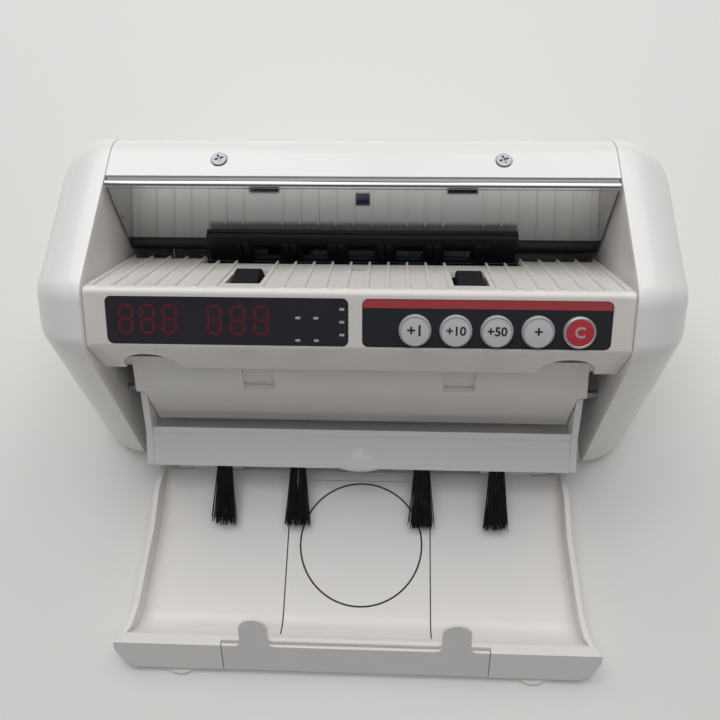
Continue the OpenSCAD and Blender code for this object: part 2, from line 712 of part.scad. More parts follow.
// ---- outlet guide cover ----
guide_path = [[12.6, 66.4], [10, 57.5], [6.3, 49.3], [4.6, 40], [3.2, 30], [2.33, 24.6]];
guide_step_z = 46.4;
guide_tab = [[12.6, 58], [14.4, 66]];
recess_x = 38.6;
recess_w = 12;
recess_wall = 1;
recess_low = [8.5, 49.7];
recess_top = [14.6, 66.4];
module outlet_guide_cover() {
    top_z = guide_path[0][1];
    color("#e6e3df") difference() {
        union() {
            difference() {
                x_prism(-guide_x, guide_x, strip(guide_path, guide_t));
                both_sides() {
                    box([guide_low_x, -far, -far], [far, far, guide_step_z]);
                    translate([0, far, 0]) rotate([90, 0, 0]) linear_extrude(2 * far)
                        polygon([[guide_x, guide_step_z], [guide_x - guide_taper, top_z + past],
                            [guide_x + past, top_z + past]]);
                }
            }
            // mounting tabs to the side frames
            both_sides() box([guide_x - 2 * guide_taper, guide_tab[0][0], guide_tab[0][1]],
                [inner_x, guide_tab[1][0], guide_tab[1][1]]);
            // pocket walls behind the recesses
            both_sides() x_prism(recess_x - recess_w / 2 - recess_wall, recess_x + recess_w / 2 + recess_wall,
                strip([recess_top, recess_low], guide_t));
        }
        both_sides() x_prism(recess_x - recess_w / 2, recess_x + recess_w / 2,
            [recess_low, recess_top, [recess_top[0], far], [0, far], [0, recess_low[1]]]);
    }
}

// ---- base, boards and small inner pieces ----
base_front_y = -6.5;
base_z = 3;
base_t = 2.5;
base_top = base_z + base_t;
base_rear_y = rear_y - rear_wrap - fit_gap;
lug_in = 57;
lug_out = 73;
lug_w = 6;
lug_z = 1.2;
knuckle_r = 2.7;
foot_x = inner_x - 14.1;
foot_ys = [8, base_rear_y - 8.8];
base_foot_r = 6.5;
stand_gap = 0.05;
post_r = 2.5;
module base_plate() {
    color("#e4e2de") difference() {
        union() {
            box([-inner_x, base_front_y, base_z], [inner_x, base_rear_y, base_top]);
            both_sides() for (x = [lug_in - lug_w, lug_out]) {
                x_rod(x, x + lug_w, hinge_at, knuckle_r, 32);
                box([x, hinge_at[0], lug_z], [x + lug_w, base_front_y + past, base_top]);
            }
            for (p = board_posts) translate([p[0], p[1], base_top - past])
                cylinder(h = board_z - base_top + past, r = post_r, $fn = 24);
        }
        both_sides() for (x = [lug_in - lug_w, lug_out])
            x_rod(x - past, x + lug_w + past, hinge_at, pin_r, 32);
    }
}
module base_feet() {
    color("#2a2a2c") for (x = [-foot_x, foot_x], y = foot_ys) translate([x, y, 0])
        cylinder(h = base_z - stand_gap, r = base_foot_r, $fn = 40);
}
board_z = 11;
board_size = [124, 32];
board_back = 0.8;
board_at = [-inner_x + board_gap, base_rear_y - board_size[1] - board_back];
board_inset = 3.8;
board_posts = [for (x = [board_inset, board_size[0] - board_inset],
    y = [board_inset, board_size[1] - board_inset])
    board_at + [x, y]];
chip_box = [[[38, 8], [52, 22], 2], [[68, 6], [76, 18], 1.6], [[92, 6], [112, 12], 8]];
can_spots = [[16, 12], [26, 12]];
can_r = 4;
can_h = 11;
plug_size = [5, 7, 6];
plug_at = [82, 23];
plug_pitch = 8;
plug_count = 4;
module main_board() {
    color("#2f6b3f") translate([board_at[0], board_at[1], board_z])
        cube([board_size[0], board_size[1], board_t]);
}
module board_components() {
    color("#2b2b30") translate([board_at[0], board_at[1], board_z + board_t]) {
        for (c = chip_box) box([c[0][0], c[0][1], 0], [c[1][0], c[1][1], c[2]]);
        for (p = can_spots) translate([p[0], p[1], 0]) cylinder(h = can_h, r = can_r, $fn = 32);
        for (i = [0 : plug_count - 1])
            translate([plug_at[0] + plug_pitch * i, plug_at[1], 0]) cube(plug_size);
    }
}
lamp_at = [17, 57];
lamp_half = 58;
lamp_tube_r = 3;
holder_w = 6;
holder_box = [[13.3, 53], [20.5, 61]];
module uv_lamp() {
    color("#b9a9e0") x_rod(-lamp_half, lamp_half, lamp_at, lamp_tube_r, 32);
    color("#d9d9d9") both_sides() box([lamp_half, holder_box[0][0], holder_box[0][1]],
        [lamp_half + holder_w, holder_box[1][0], holder_box[1][1]]);
}
head_box = [[8, 38.5], [13.6, 45.5]];
head_half = 9;
module magnetic_head() {
    color("#8e8f93") box([-head_half, head_box[0][0], head_box[0][1]],
        [head_half, head_box[1][0], head_box[1][1]]);
}
eye_box = [[5.6, 27], [10.6, 33]];
eye_half = 4;
eye_x = 20;
module count_sensors() {
    color("#232327") for (x = [-eye_x, eye_x])
        box([x - eye_half, eye_box[0][0], eye_box[0][1]], [x + eye_half, eye_box[1][0], eye_box[1][1]]);
}

// ---- motor and drive ----
motor_wall_gap = 2.9;
motor_at = [rear_y - cover_inset - shell_t - motor_wall_gap - motor_r, motor_z];
motor_screw_at = 8.5;
motor_screw_r = 1.5;
motor_head_r = 2.8;
motor_cap = 3;
motor_cap_r = 5;
belt_x = frame_in_x + frame_t + 3.6;
belt2_x = belt_x + belt_w + 2.4;
shaft_past = 1.5;
drive_end_x = belt2_x + belt_w + shaft_past;
shaft_end_x = belt_x + belt_w + shaft_past;
frame_out_x = frame_in_x + frame_t + shaft_past;
bearing_flange = 0.8;
bearing_in = 1;
seat_gap = 0.05;
core_gap = 0.02;
module motor() {
    color("#9c9ea3") {
        difference() {
            union() {
                x_rod(frame_in_x - motor_len, frame_in_x - seat_gap, motor_at, motor_r, 48);
                x_rod(frame_in_x - motor_len - motor_cap, frame_in_x - motor_len + past, motor_at,
                    motor_cap_r, 32);
            }
            for (z = [-motor_screw_at, motor_screw_at])
                x_rod(frame_in_x - 4 * motor_screw_r, frame_in_x + past, motor_at + [0, z],
                    motor_screw_r, 24);
        }
        x_rod(frame_in_x - past, frame_in_x + frame_t / 4, motor_at, bearing_r - fit_gap, 32);
    }
}
module motor_screws() {
    out_x = frame_in_x + frame_t;
    color("#b9bcc0") for (z = [-motor_screw_at, motor_screw_at]) {
        x_rod(frame_in_x - 3 * motor_screw_r, out_x + motor_screw_r / 2, motor_at + [0, z],
            motor_screw_r - core_gap, 24);
        x_rod(out_x + seat_gap, out_x + motor_screw_r, motor_at + [0, z], motor_head_r, 24);
    }
}
module shaft_bearings() {
    color("#c7c9cc") both_sides() for (at = shaft_spots) {
        x_tube(frame_in_x - bearing_in, frame_in_x + frame_t + bearing_in / 2, at,
            bearing_r - core_gap, shaft_r + shaft_gap);
        x_tube(frame_in_x - 1.5 * bearing_in, frame_in_x - seat_gap, at,
            bearing_r + bearing_flange, shaft_r + shaft_gap);
    }
}
module shaft(at, x0, x1) { x_rod(x0, x1, at, shaft_r); }
module pickup_shaft() { color("#b4b7bb") shaft(pickup_at, -frame_out_x, drive_end_x); }
module feed_shaft() { color("#b4b7bb") shaft(feed_at, -shaft_end_x, drive_end_x); }
module stacker_shaft() { color("#b4b7bb") shaft(stacker_at, -shaft_end_x, frame_out_x); }
hub_w = 2.5;
pickup_hub_r = 6.5;
feed_hub_r = 7;
roller_in_x = slot_x / 2;
module roller_set(at, xs, r, w, hub_r) {
    for (x = xs) {
        x_tube(x - w / 2, x + w / 2, at, r, shaft_r, 64);
        x_tube(x - w / 2 - hub_w, x + w / 2 + hub_w, at, hub_r, shaft_r, 40);
    }
}
module pickup_rollers() {
    color("#1f2024") roller_set(pickup_at, [-slot_x, slot_x], pickup_r, pickup_w, pickup_hub_r);
}
module feed_rollers() {
    color("#232428")
        roller_set(feed_at, [-slot_x, -roller_in_x, roller_in_x, slot_x], feed_r, feed_w, feed_hub_r);
}
finger_count = 6;
finger_steps = 6;
finger_turn = 48;
finger_w = 4;
finger_t = 1;
stacker_hub_r = 7.5;
stacker_hub_w = 5;
stacker_xs = [-62, -29.5, 29.5, 62];
// One finger: an arc that runs out from the hub as it turns
finger_path = [for (j = [0 : finger_steps]) let (k = j / finger_steps, a = finger_turn * k,
    r = stacker_hub_r - finger_t / 2 + (stacker_r - stacker_hub_r - finger_t / 8) * k) r * [cos(a), sin(a)]];
module stacker_wheel(x) {
    x_tube(x - stacker_hub_w / 2, x + stacker_hub_w / 2, stacker_at, stacker_hub_r, shaft_r, 40);
    for (k = [0 : finger_count - 1]) translate([x, stacker_at[0], stacker_at[1]])
        rotate([360 * k / finger_count, 0, 0])
            x_prism(-finger_w / 2, finger_w / 2, strip(finger_path, finger_t));
}
module stacker_wheels() { color("#39434f") for (x = stacker_xs) stacker_wheel(x); }
flange_t = 0.6;
flange_gap = 0.3;
module pulley(at, x, r, bore = true) {
    low = x - flange_gap;
    high = x + belt_w + flange_gap;
    difference() {
        union() {
            x_rod(low - flange_t / 2, high + flange_t / 2, at, r - belt_t / 2, 48);
            x_rod(low - flange_t, low, at, r + belt_t, 48);
            x_rod(high, high + flange_t, at, r + belt_t, 48);
        }
        if (bore) x_rod(x - belt_w, x + 2 * belt_w, at, shaft_r, 40);
    }
}
module feed_pulleys() {
    color("#e2dccb") {
        pulley(feed_at, belt_x, feed_pulley_r);
        pulley(feed_at, belt2_x, pickup_pulley_r);
        mirror([1, 0, 0]) pulley(feed_at, belt_x, stacker_pulley_r);
    }
}
module pickup_pulley() { color("#e2dccb") pulley(pickup_at, belt2_x, pickup_pulley_r); }
module stacker_pulley() { color("#e2dccb") mirror([1, 0, 0]) pulley(stacker_at, belt_x, stacker_pulley_r); }
module motor_pulley() {
    color("#c7c9cc") {
        pulley(motor_at, belt_x, motor_pulley_r, false);
        x_rod(frame_in_x + frame_t / 2 + fit_gap, belt_x, motor_at, motor_pulley_r / 3, 32);
    }
}
module belt(x, a, ra, b, rb) {
    out = belt_t / 2 + run_gap;
    in = run_gap - belt_t / 2;
    difference() {
        x_prism(x, x + belt_w, belt_points(a, ra + out, b, rb + out));
        x_prism(x - past, x + belt_w + past, belt_points(a, ra + in, b, rb + in));
    }
}
module drive_belt() { color("#202023") belt(belt_x, motor_at, motor_pulley_r, feed_at, feed_pulley_r); }
module pickup_belt() { color("#202023") belt(belt2_x, feed_at, pickup_pulley_r, pickup_at, pickup_pulley_r); }
module stacker_belt() {
    color("#202023") mirror([1, 0, 0]) belt(belt_x, feed_at, stacker_pulley_r, stacker_at, stacker_pulley_r);
}

// ---- rear ports ----
inlet_deep = 15;
socket_deep = 10;
socket_r = 2.75;
contact_r = 1;
module dc_inlet() {
    inside_y = rear_y - cover_inset - shell_t - fit_gap;
    color("#1d1d20") difference() {
        union() {
            rear_rod(inlet_x, rear_y - inlet_deep, rear_y - fit_gap, inlet_r);
            rear_rod(inlet_x, rear_y - inlet_deep, inside_y, inlet_r + 1.5);
        }
        rear_rod(inlet_x, rear_y - socket_deep, rear_y + past, socket_r);
    }
    color("#c7c9cc") rear_rod(inlet_x, rear_y - socket_deep - 2 * contact_r, rear_y - contact_r, contact_r);
}
housing_deep = 16;
pocket_deep = 8.4;
pocket_wall = [1.5, 1];
pocket_half = [switch_w / 2 - pocket_wall[0], switch_tall / 2 - pocket_wall[1]];
module switch_housing() {
    bezel_y = rear_y - cover_inset - bezel_t;
    color("#1d1d20") difference() {
        union() {
            switch_box(0, rear_y - housing_deep, rear_y - cover_inset);
            switch_box(bezel_w, bezel_y, rear_y - cover_inset / 2);
        }
        box([switch_x - pocket_half[0], rear_y - pocket_deep, rear_port_z - pocket_half[1]],
            [switch_x + pocket_half[0], rear_y + past, rear_port_z + pocket_half[1]]);
    }
}
rocker_y = rear_y - 2.6;
rocker_deep = 3;
rocker_face = [1.6, 0.9];
module power_rocker() {
    h = pocket_half[1] - 2 * run_gap;
    half = pocket_half[0] - run_gap;
    color("#b3262e") translate([0, rocker_y, rear_port_z]) rotate([-rocker_tilt, 0, 0])
        x_prism(switch_x - half, switch_x + half, [[-rocker_deep, -h * 0.6], [rocker_face[0], -h],
            [rocker_face[1], 0], [rocker_face[0], h], [-rocker_deep, h * 0.6]]);
}

// ---- tray ----
lip_front_y = -half_depth + 10.5;
lip_back_y = lip_front_y + 3.6;
band_low = [-half_depth + 2.1, tray_z + 1.2];
floor_top = tray_z + tray_t;
tray_rear_y = -14;
band_dir = unit(band_low - [lip_front_y, tray_lip_z]);
band_in = [-band_dir[1], band_dir[0]];
// Rise of the floor into the lip: distance behind the lip's inner edge and height over the floor
lip_rise = [[9.9, 0], [6.1, 0.7], [3.5, 2.6], [1.5, 5.8]];
tray_path = concat([[tray_rear_y, floor_top]], [for (p = lip_rise) [lip_back_y + p[0], floor_top + p[1]]],
    [[lip_back_y, tray_lip_z]]);
// Point where the line through p along u meets the line through q along v
function meet(p, u, q, v) =
    p + u * ((q[0] - p[0]) * v[1] - (q[1] - p[1]) * v[0]) / (u[0] * v[1] - u[1] * v[0]);
// Cross-section of floor and lip; the outer band is set back by e
function tray_section(e) =
    let (back = [e / band_in[0], 0], top = [lip_front_y, tray_lip_z] + back, low = band_low + back,
        inner = shift_path(tray_path, tray_t),
        web = [lip_front_y, tray_lip_z] + band_in * (tray_t + handle_t + run_gap),
        apex = meet(web, band_dir, inner[4], tray_path[5] - tray_path[4]),
        heel = meet(web, band_dir, [0, tray_z], [1, 0]))
    concat(tray_path, [top, low, [low[0], tray_z], heel, apex], [for (k = [4 : -1 : 0]) inner[k]]);
// Plan of a side wall: distance behind the lip's front edge and share of the flare
flare_steps = [[44.5, 0], [32.5, 0.11], [13.5, 0.29], [6.5, 0.45], [3.5, 0.675], [0, 1]];
lip_corner = [[0, 2.5], [1.8, 5.3], [4.6, 7.1], [8.4, 9.5]];
plan_half = concat([[tray_x, tray_rear_y]],
    [for (f = flare_steps) [tray_x + tray_flare * f[1], lip_front_y + f[0]]],
    [for (c = lip_corner) [tray_lip_x - c[0], lip_front_y - c[1]]]);
function mirrored(points) = [for (p = reversed(points)) [-p[0], p[1]]];
plan_outline = concat(plan_half, mirrored(plan_half));
wall_in = [for (i = [0 : 5]) plan_half[i] - [tray_t, 0]];
wall_start = [11, 7];
wall_fall = 3;
module tray_knuckle() {
    x_rod(lug_in + run_gap, lug_out - run_gap, hinge_at, knuckle_r, 32);
    box([lug_in + run_gap, tray_rear_y - 2 * tray_t, tray_z], [lug_out - run_gap, hinge_at[0], floor_top]);
}
module tray_walls() {
    inside = [[tray_x - tray_t, tray_rear_y + far]];
    intersection() {
        translate([0, 0, tray_z]) linear_extrude(tray_lip_z - tray_z) difference() {
            polygon(plan_outline);
            polygon(concat(inside, wall_in, mirrored(wall_in), mirrored(inside)));
            translate([-far, -far]) square([2 * far, far + lip_back_y - past / 2]);
        }
        x_prism(-far, far, [[tray_rear_y, tray_z], [tray_rear_y, wall_start[1]],
            [tray_rear_y - wall_start[0], tray_wall_z],
            [lip_back_y + lip_rise[0][0] + wall_fall, tray_wall_z],
            [lip_back_y, tray_lip_z], [-far, tray_lip_z], [-far, tray_z]]);
    }
}
tray_foot_x = 69.5;
tray_foot_y = -half_depth + foot_r;
foot_boss = 1.4;
module tray() {
    color("#eceae6") difference() {
        union() {
            intersection() {
                union() {
                    both_sides() x_prism(handle_x + run_gap, far, tray_section(0));
                    x_prism(-handle_x - run_gap - past / 8, handle_x + run_gap + past / 8,
                        tray_section(handle_t + run_gap));
                }
                translate([0, 0, -past]) linear_extrude(far) polygon(plan_outline);
            }
            tray_walls();
            both_sides() {
                tray_knuckle();
                translate([tray_foot_x, 0, tray_z]) intersection() {
                    translate([0, tray_foot_y, 0]) cylinder(h = foot_boss, r = foot_r, $fn = 40);
                    translate([-far / 2, band_low[0] + past / 2, -past]) cube(far);
                }
            }
        }
        both_sides() {
            x_rod(lug_in - past, lug_out + past, hinge_at, pin_r + shaft_gap, 32);
            for (x = [lug_in - lug_w, lug_out])
                x_rod(x - run_gap, x + lug_w + run_gap, hinge_at, knuckle_r + run_gap, 32);
        }
        x_prism(-tray_plate_x, tray_plate_x, plate_section(plate_gap));
    }
}
plate_gap = 0.15;
plate_path = [for (i = [0 : 4]) i == 0 ? [tray_rear_y - 2 * tray_t, floor_top] : tray_path[i]];
function plate_section(g) =
    let (path = concat([plate_path[0] + [g, 0]], [for (i = [1 : 4]) plate_path[i]]))
    concat(shift_path(path, -2 * fit_gap), reversed(shift_path(path, tray_plate_t + g / 3)));
ring_at = [0.9, -44.5];
ring_r = 25.3;
ring_w = 0.7;
ring_depth = 0.7;
module tray_centre_plate() {
    color("#e9e7e3") difference() {
        x_prism(-tray_plate_x + plate_gap, tray_plate_x - plate_gap,
            concat(plate_path, reversed(shift_path(plate_path, tray_plate_t - seat_gap))));
        translate([ring_at[0], ring_at[1], floor_top - ring_depth]) difference() {
            cylinder(h = 2 * ring_depth, r = ring_r + ring_w / 2, $fn = 96);
            translate([0, 0, -past]) cylinder(h = far, r = ring_r - ring_w / 2, $fn = 96);
        }
    }
}
module tray_feet() {
    color("#dcdad6") both_sides() translate([tray_foot_x, tray_foot_y, 0])
        cylinder(h = tray_z - core_gap, r = foot_r, $fn = 48);
}

// ---- carry handle ----
handle_top = [lip_front_y, tray_lip_z];
band_len = norm(band_low - handle_top);
leg_root_r = 2;
leg_steps = 12;
// Outline of a leg in the plane of the band, x to the right and y down the band
leg_outline = let (w = leg_w / 2, r = leg_root_r, top = w - leg_out)
    concat([[-w - r, past]],
        [for (a = [0 : 30 : 90]) [-w - r + r * sin(a), -r + r * cos(a)]],
        [for (k = [0 : leg_steps]) let (a = 180 + 180 * k / leg_steps) [w * cos(a), top + w * sin(a)]],
        [for (a = [90 : -30 : 0]) [w + r - r * sin(a), -r + r * cos(a)]],
        [[w + r, past]]);
module carry_handle() {
    color("#e2e0dc") translate([0, handle_top[0], handle_top[1]]) rotate([-acos(band_in[1]), 0, 0])
        linear_extrude(handle_t) union() {
            translate([-handle_x, 0]) square([2 * handle_x, band_len]);
            for (x = [-leg_x, leg_x]) translate([x, 0]) polygon(leg_outline);
        }
}

// ---- hinge and pivot pins ----
module tray_hinge_pins() {
    color("#b4b7bb") both_sides() x_rod(lug_in - lug_w, lug_out + lug_w, hinge_at, pin_r - core_gap, 32);
}
module shelf_pivot_pins() {
    color("#b4b7bb") both_sides()
        x_rod(arm_x - arm_t - 2 * run_gap, frame_in_x + frame_t, shelf_at, pin_r - core_gap, 32);
}

// ---- shelf ----
arm_corners = [[13.4, 43.6, 3.4], [8, 44.6, 2], [-5.4, 29.2, 2], [-17.2, 21.8, 1],
    [-16.2, 18.4, 1], [-7.6, 18.9, 4], [14.4, 35.6, 3.4]];
shelf_edge = [-17, 20.6];
shelf_rim = [-3.2, 29];
face_dir = unit(shelf_rim - shelf_edge);
shelf_path = [[-3, 24.6], shelf_rim, shelf_edge, [-15.8, 18.2]];
groove_at = shelf_rim - face_dir * 3.1;
groove_w = 0.5;
face_up = [-face_dir[1], face_dir[0]];
// Pointed thumb rest on the lower edge: outline in the face, x to the right and y up it
thumb_half = [[9.6, 0.6], [7.6, 3.2], [5.2, 5.9], [2.6, 8.2]];
thumb_low = [[7, -0.4], [3.5, -1.1]];
thumb_outline = concat([for (p = thumb_half) [-p[0], p[1]]], [[0, 9.5]], reversed(thumb_half),
    thumb_low, [[0, -1.3]], mirrored(thumb_low));
// Size and height of each ring of the thumb rest
thumb_rings = [[1, -0.8], [1, 0.1], [0.88, 0.9], [0.66, 1.6], [0.4, 2], [0.14, 2.2]];
thumb_heart = [0, 1.6];
module thumb_rest() {
    translate([0, shelf_edge[0], shelf_edge[1]]) rotate([atan2(face_dir[1], face_dir[0]), 0, 0])
        loft([for (r = thumb_rings) [for (p = thumb_outline) let (q = thumb_heart + (p - thumb_heart) * r[0])
            [q[0], q[1], r[1]]]]);
}
module shelf_frame() {
    color("#eae8e4") {
        both_sides() difference() {
            x_prism(arm_x - arm_t, arm_x, rounded(reversed(arm_corners), 4));
            x_rod(arm_x - arm_t - past, arm_x + past, shelf_at, pin_r + shaft_gap, 32);
        }
        difference() {
            x_prism(-arm_x + past, arm_x - past, strip(shelf_path, shelf_t));
            x_prism(-arm_x + arm_t, arm_x - arm_t,
                strip([groove_at + face_up * past, groove_at - face_up * groove_w], groove_w));
        }
        thumb_rest();
    }
}
brush_xs = [-brush_out_x, -brush_in_x, brush_in_x, brush_out_x];
brush_at = [-13.4, 17.4];
brush_dir = unit([-24, -10.4]);
holder_half = 4.2;
holder_corners = [[-1.6, -0.6], [3.4, 0.2], [4.4, 2.6], [-0.6, 1.6]];
tuft_x = 2.2;
tuft_half = 1.5;
tuft_root = [-1.7, 0.4];
tuft_t = [0.5, 0.6];
module brush_holders() {
    color("#1d1d20") for (x = brush_xs)
        x_prism(x - holder_half, x + holder_half, [for (c = holder_corners) brush_at + c]);
}
module brush_bristles() {
    n = [-brush_dir[1], brush_dir[0]];
    root = brush_at + tuft_root + brush_dir * 0.1;
    tip = root + brush_dir * bristle_len;
    color("#141416") for (x = brush_xs, s = [-tuft_x, tuft_x])
        x_prism(x + s - tuft_half, x + s + tuft_half,
            [root - n * tuft_t[0], root + n * tuft_t[0], tip + n * tuft_t[1], tip - n * tuft_t[1]]);
}

base_plate();
left_side_cover();
right_side_cover();
left_side_frame();
right_side_frame();
front_cover();
display_window();
keypad_overlay();
display_board();
digit_modules();
indicator_lamps();
key_switches();
hopper_sensor();
rear_guide_plate();
separator_plate();
retard_pads();
rear_guide_tube();
top_cover();
rear_cover();
cover_screws();
outlet_guide_cover();
main_board();
board_components();
motor();
motor_screws();
shaft_bearings();
uv_lamp();
magnetic_head();
count_sensors();
dc_inlet();
switch_housing();
power_rocker();
drive_belt();
pickup_belt();
stacker_belt();
base_feet();
tray_hinge_pins();
shelf_pivot_pins();
tray();
tray_centre_plate();
tray_feet();
carry_handle();
shelf_frame();
brush_holders();
brush_bristles();
key_plus_one();
key_plus_ten();
key_plus_fifty();
key_function();
key_clear();
pickup_shaft();
pickup_rollers();
pickup_pulley();
feed_shaft();
feed_rollers();
feed_pulleys();
stacker_shaft();
stacker_wheels();
stacker_pulley();
motor_pulley();
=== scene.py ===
"""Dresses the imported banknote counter: mouldings, panel, hopper, outlet, tray and the drive inside.

Every length in this file is in millimetres unless its name says otherwise; meshes are in metres.
"""

from __future__ import annotations

import logging
import math
from dataclasses import dataclass
from enum import Enum
from typing import Iterable, Sequence

import bmesh
import bpy
from mathutils import Matrix, Vector


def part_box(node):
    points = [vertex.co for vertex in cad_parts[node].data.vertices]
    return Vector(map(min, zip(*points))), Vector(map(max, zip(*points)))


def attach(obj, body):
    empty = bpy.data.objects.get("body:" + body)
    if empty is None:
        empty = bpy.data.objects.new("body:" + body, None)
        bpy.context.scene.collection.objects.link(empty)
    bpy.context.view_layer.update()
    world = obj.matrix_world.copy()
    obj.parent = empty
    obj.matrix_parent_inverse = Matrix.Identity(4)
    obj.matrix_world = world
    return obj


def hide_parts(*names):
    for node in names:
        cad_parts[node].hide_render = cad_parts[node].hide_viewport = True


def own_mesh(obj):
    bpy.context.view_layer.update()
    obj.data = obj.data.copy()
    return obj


LOG = logging.getLogger("banknote_counter")
MM = 0.001
SENSOR_MM = 36
# Size of the patches over which a moulding's colour and gloss drift
DRIFT = 38
# Nodes with slots through flat faces, which keep their triangles when their edges are rounded
PIERCED = {"rear_cover", "separator_plate"}
# Turns a piece that rises along its own Z, so that it runs along X with its outline in Y and Z
ALONG_X = Matrix(((0, 0, 1, 0), (1, 0, 0, 0), (0, 1, 0, 0), (0, 0, 0, 1)))
Point = tuple[float, float]


# ---------------------------------------------------------------- plain helpers


def linear(hex_colour: str) -> tuple[float, float, float, float]:
    """Turns an sRGB hex colour into a linear colour.

    Args:
        hex_colour: Six hex digits after a hash.

    Returns:
        Red, green, blue and alpha, linear.
    """
    channels = [int(hex_colour[i : i + 2], 16) / 255 for i in (1, 3, 5)]
    return tuple(c / 12.92 if c <= 0.04045 else ((c + 0.055) / 1.055) ** 2.4 for c in channels) + (1.0,)


def add(
    tree: bpy.types.NodeTree, kind: str, settings: dict | None = None, links: dict | None = None
) -> bpy.types.Node:
    """Adds one node with its settings and its links.

    Args:
        tree: The node tree.
        kind: The node's type name.
        settings: Attributes, or input sockets' values where the key is a socket's name or number.
        links: Input socket name or number to the output socket that feeds it.

    Returns:
        The new node.
    """
    node = tree.nodes.new(kind)
    for key, value in (settings or {}).items():
        if isinstance(key, str) and hasattr(node, key):
            setattr(node, key, value)
        else:
            node.inputs[key].default_value = value
    for key, source in (links or {}).items():
        tree.links.new(source, node.inputs[key])
    return node


def unit(v: Point) -> Point:
    """Returns a plane vector at length one."""
    size = math.hypot(*v)
    return v[0] / size, v[1] / size


def arc(centre: Point, radius: float, start: float, end: float, steps: int) -> list[Point]:
    """Points along an arc.

    Args:
        centre: The arc's centre.
        radius: Its radius.
        start: First angle in degrees.
        end: Last angle in degrees.
        steps: Number of stretches.

    Returns:
        Steps + 1 points.
    """
    angles = [math.radians(start + (end - start) * k / steps) for k in range(steps + 1)]
    return [(centre[0] + radius * math.cos(a), centre[1] + radius * math.sin(a)) for a in angles]


def rounded(corners: Sequence[tuple[float, float, float]], steps: int = 8) -> list[Point]:
    """Rounds every corner of a closed outline.

    Args:
        corners: Corner x, corner y and radius.
        steps: Stretches in each arc.

    Returns:
        The rounded outline.
    """
    points: list[Point] = []
    for i, (cx, cy, radius) in enumerate(corners):
        before, after = corners[i - 1], corners[(i + 1) % len(corners)]
        u = unit((before[0] - cx, before[1] - cy))
        v = unit((after[0] - cx, after[1] - cy))
        half = math.acos(max(-1.0, min(1.0, u[0] * v[0] + u[1] * v[1]))) / 2
        run = radius / math.tan(half)
        out = unit((u[0] + v[0], u[1] + v[1]))
        mid = (cx + out[0] * radius / math.sin(half), cy + out[1] * radius / math.sin(half))
        first = math.degrees(math.atan2(cy + u[1] * run - mid[1], cx + u[0] * run - mid[0]))
        last = math.degrees(math.atan2(cy + v[1] * run - mid[1], cx + v[0] * run - mid[0]))
        sweep = (last - first + 180) % 360 - 180
        points += arc(mid, radius, first, first + sweep, steps)
    return points


def object_from(name: str, bm: bmesh.types.BMesh, outward: bool = True) -> bpy.types.Object:
    """Makes an object from a mesh under construction, in metres.

    Args:
        name: The object's name.
        bm: The mesh in millimetres; it is freed.
        outward: Whether to turn the faces outwards first.

    Returns:
        The linked object.
    """
    bmesh.ops.remove_doubles(bm, verts=bm.verts, dist=0.0005)
    if outward:
        bmesh.ops.recalc_face_normals(bm, faces=bm.faces)
    bmesh.ops.scale(bm, vec=(MM, MM, MM), verts=bm.verts)
    mesh = bpy.data.meshes.new(name)
    bm.to_mesh(mesh)
    bm.free()
    obj = bpy.data.objects.new(name, mesh)
    bpy.context.scene.collection.objects.link(obj)
    return obj


def applied(obj: bpy.types.Object) -> bpy.types.Object:
    """Bakes an object's modifiers into its mesh and removes them."""
    graph = bpy.context.evaluated_depsgraph_get()
    mesh = bpy.data.meshes.new_from_object(obj.evaluated_get(graph))
    obj.modifiers.clear()
    obj.data = mesh
    return obj


def soften(obj: bpy.types.Object, width: float, segments: int = 2, angle: float = 32) -> bpy.types.Object:
    """Rounds an object's edges with a small bevel, as a mould leaves them.

    Args:
        obj: The object.
        width: Bevel width in mm.
        segments: Bevel segments.
        angle: Edges that turn more than this many degrees are rounded.

    Returns:
        The same object.
    """
    bevel = obj.modifiers.new("edge", "BEVEL")
    bevel.width = width * MM
    bevel.segments = segments
    bevel.limit_method = "ANGLE"
    bevel.angle_limit = math.radians(angle)
    bevel.use_clamp_overlap = True
    bevel.miter_outer = "MITER_ARC"
    return applied(obj)


def shade(obj: bpy.types.Object, angle: float = 35) -> bpy.types.Object:
    """Shades an object smooth, with edges over an angle kept sharp."""
    limit = math.radians(angle)
    bm = bmesh.new()
    bm.from_mesh(obj.data)
    for face in bm.faces:
        face.smooth = True
    for edge in bm.edges:
        edge.smooth = len(edge.link_faces) == 2 and edge.calc_face_angle(0.0) < limit
    bm.to_mesh(obj.data)
    bm.free()
    return obj


def flattened(obj: bpy.types.Object) -> bpy.types.Object:
    """Weights a moulding's normals by face area, so that its broad faces shade flat between soft edges."""
    weighted = obj.modifiers.new("normals", "WEIGHTED_NORMAL")
    weighted.mode = "FACE_AREA"
    weighted.weight = 50
    weighted.keep_sharp = True
    return applied(obj)


def dress(obj: bpy.types.Object, material: bpy.types.Material, body: str, *nodes: str) -> bpy.types.Object:
    """Gives a piece its material, its body and the CAD nodes that it stands for."""
    obj.data.materials.clear()
    obj.data.materials.append(material)
    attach(obj, body)
    if nodes:
        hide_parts(*nodes)
    LOG.info("%s on %s, %d faces", obj.name, body, len(obj.data.polygons))
    return obj


def slab(outline: Sequence[Point], low: float, high: float, place: Matrix) -> bmesh.types.BMesh:
    """Extrudes an outline along its own Z and places it.

    Args:
        outline: Closed (x, y) outline.
        low: Lower height.
        high: Upper height.
        place: Where it stands.

    Returns:
        The mesh under construction.
    """
    bm = bmesh.new()
    bottom = [bm.verts.new((x, y, low)) for x, y in outline]
    top = [bm.verts.new((x, y, high)) for x, y in outline]
    bm.faces.new(bottom)
    bm.faces.new(top)
    for i in range(len(bottom)):
        j = (i + 1) % len(bottom)
        bm.faces.new((bottom[i], bottom[j], top[j], top[i]))
    bmesh.ops.transform(bm, matrix=place, verts=bm.verts)
    return bm


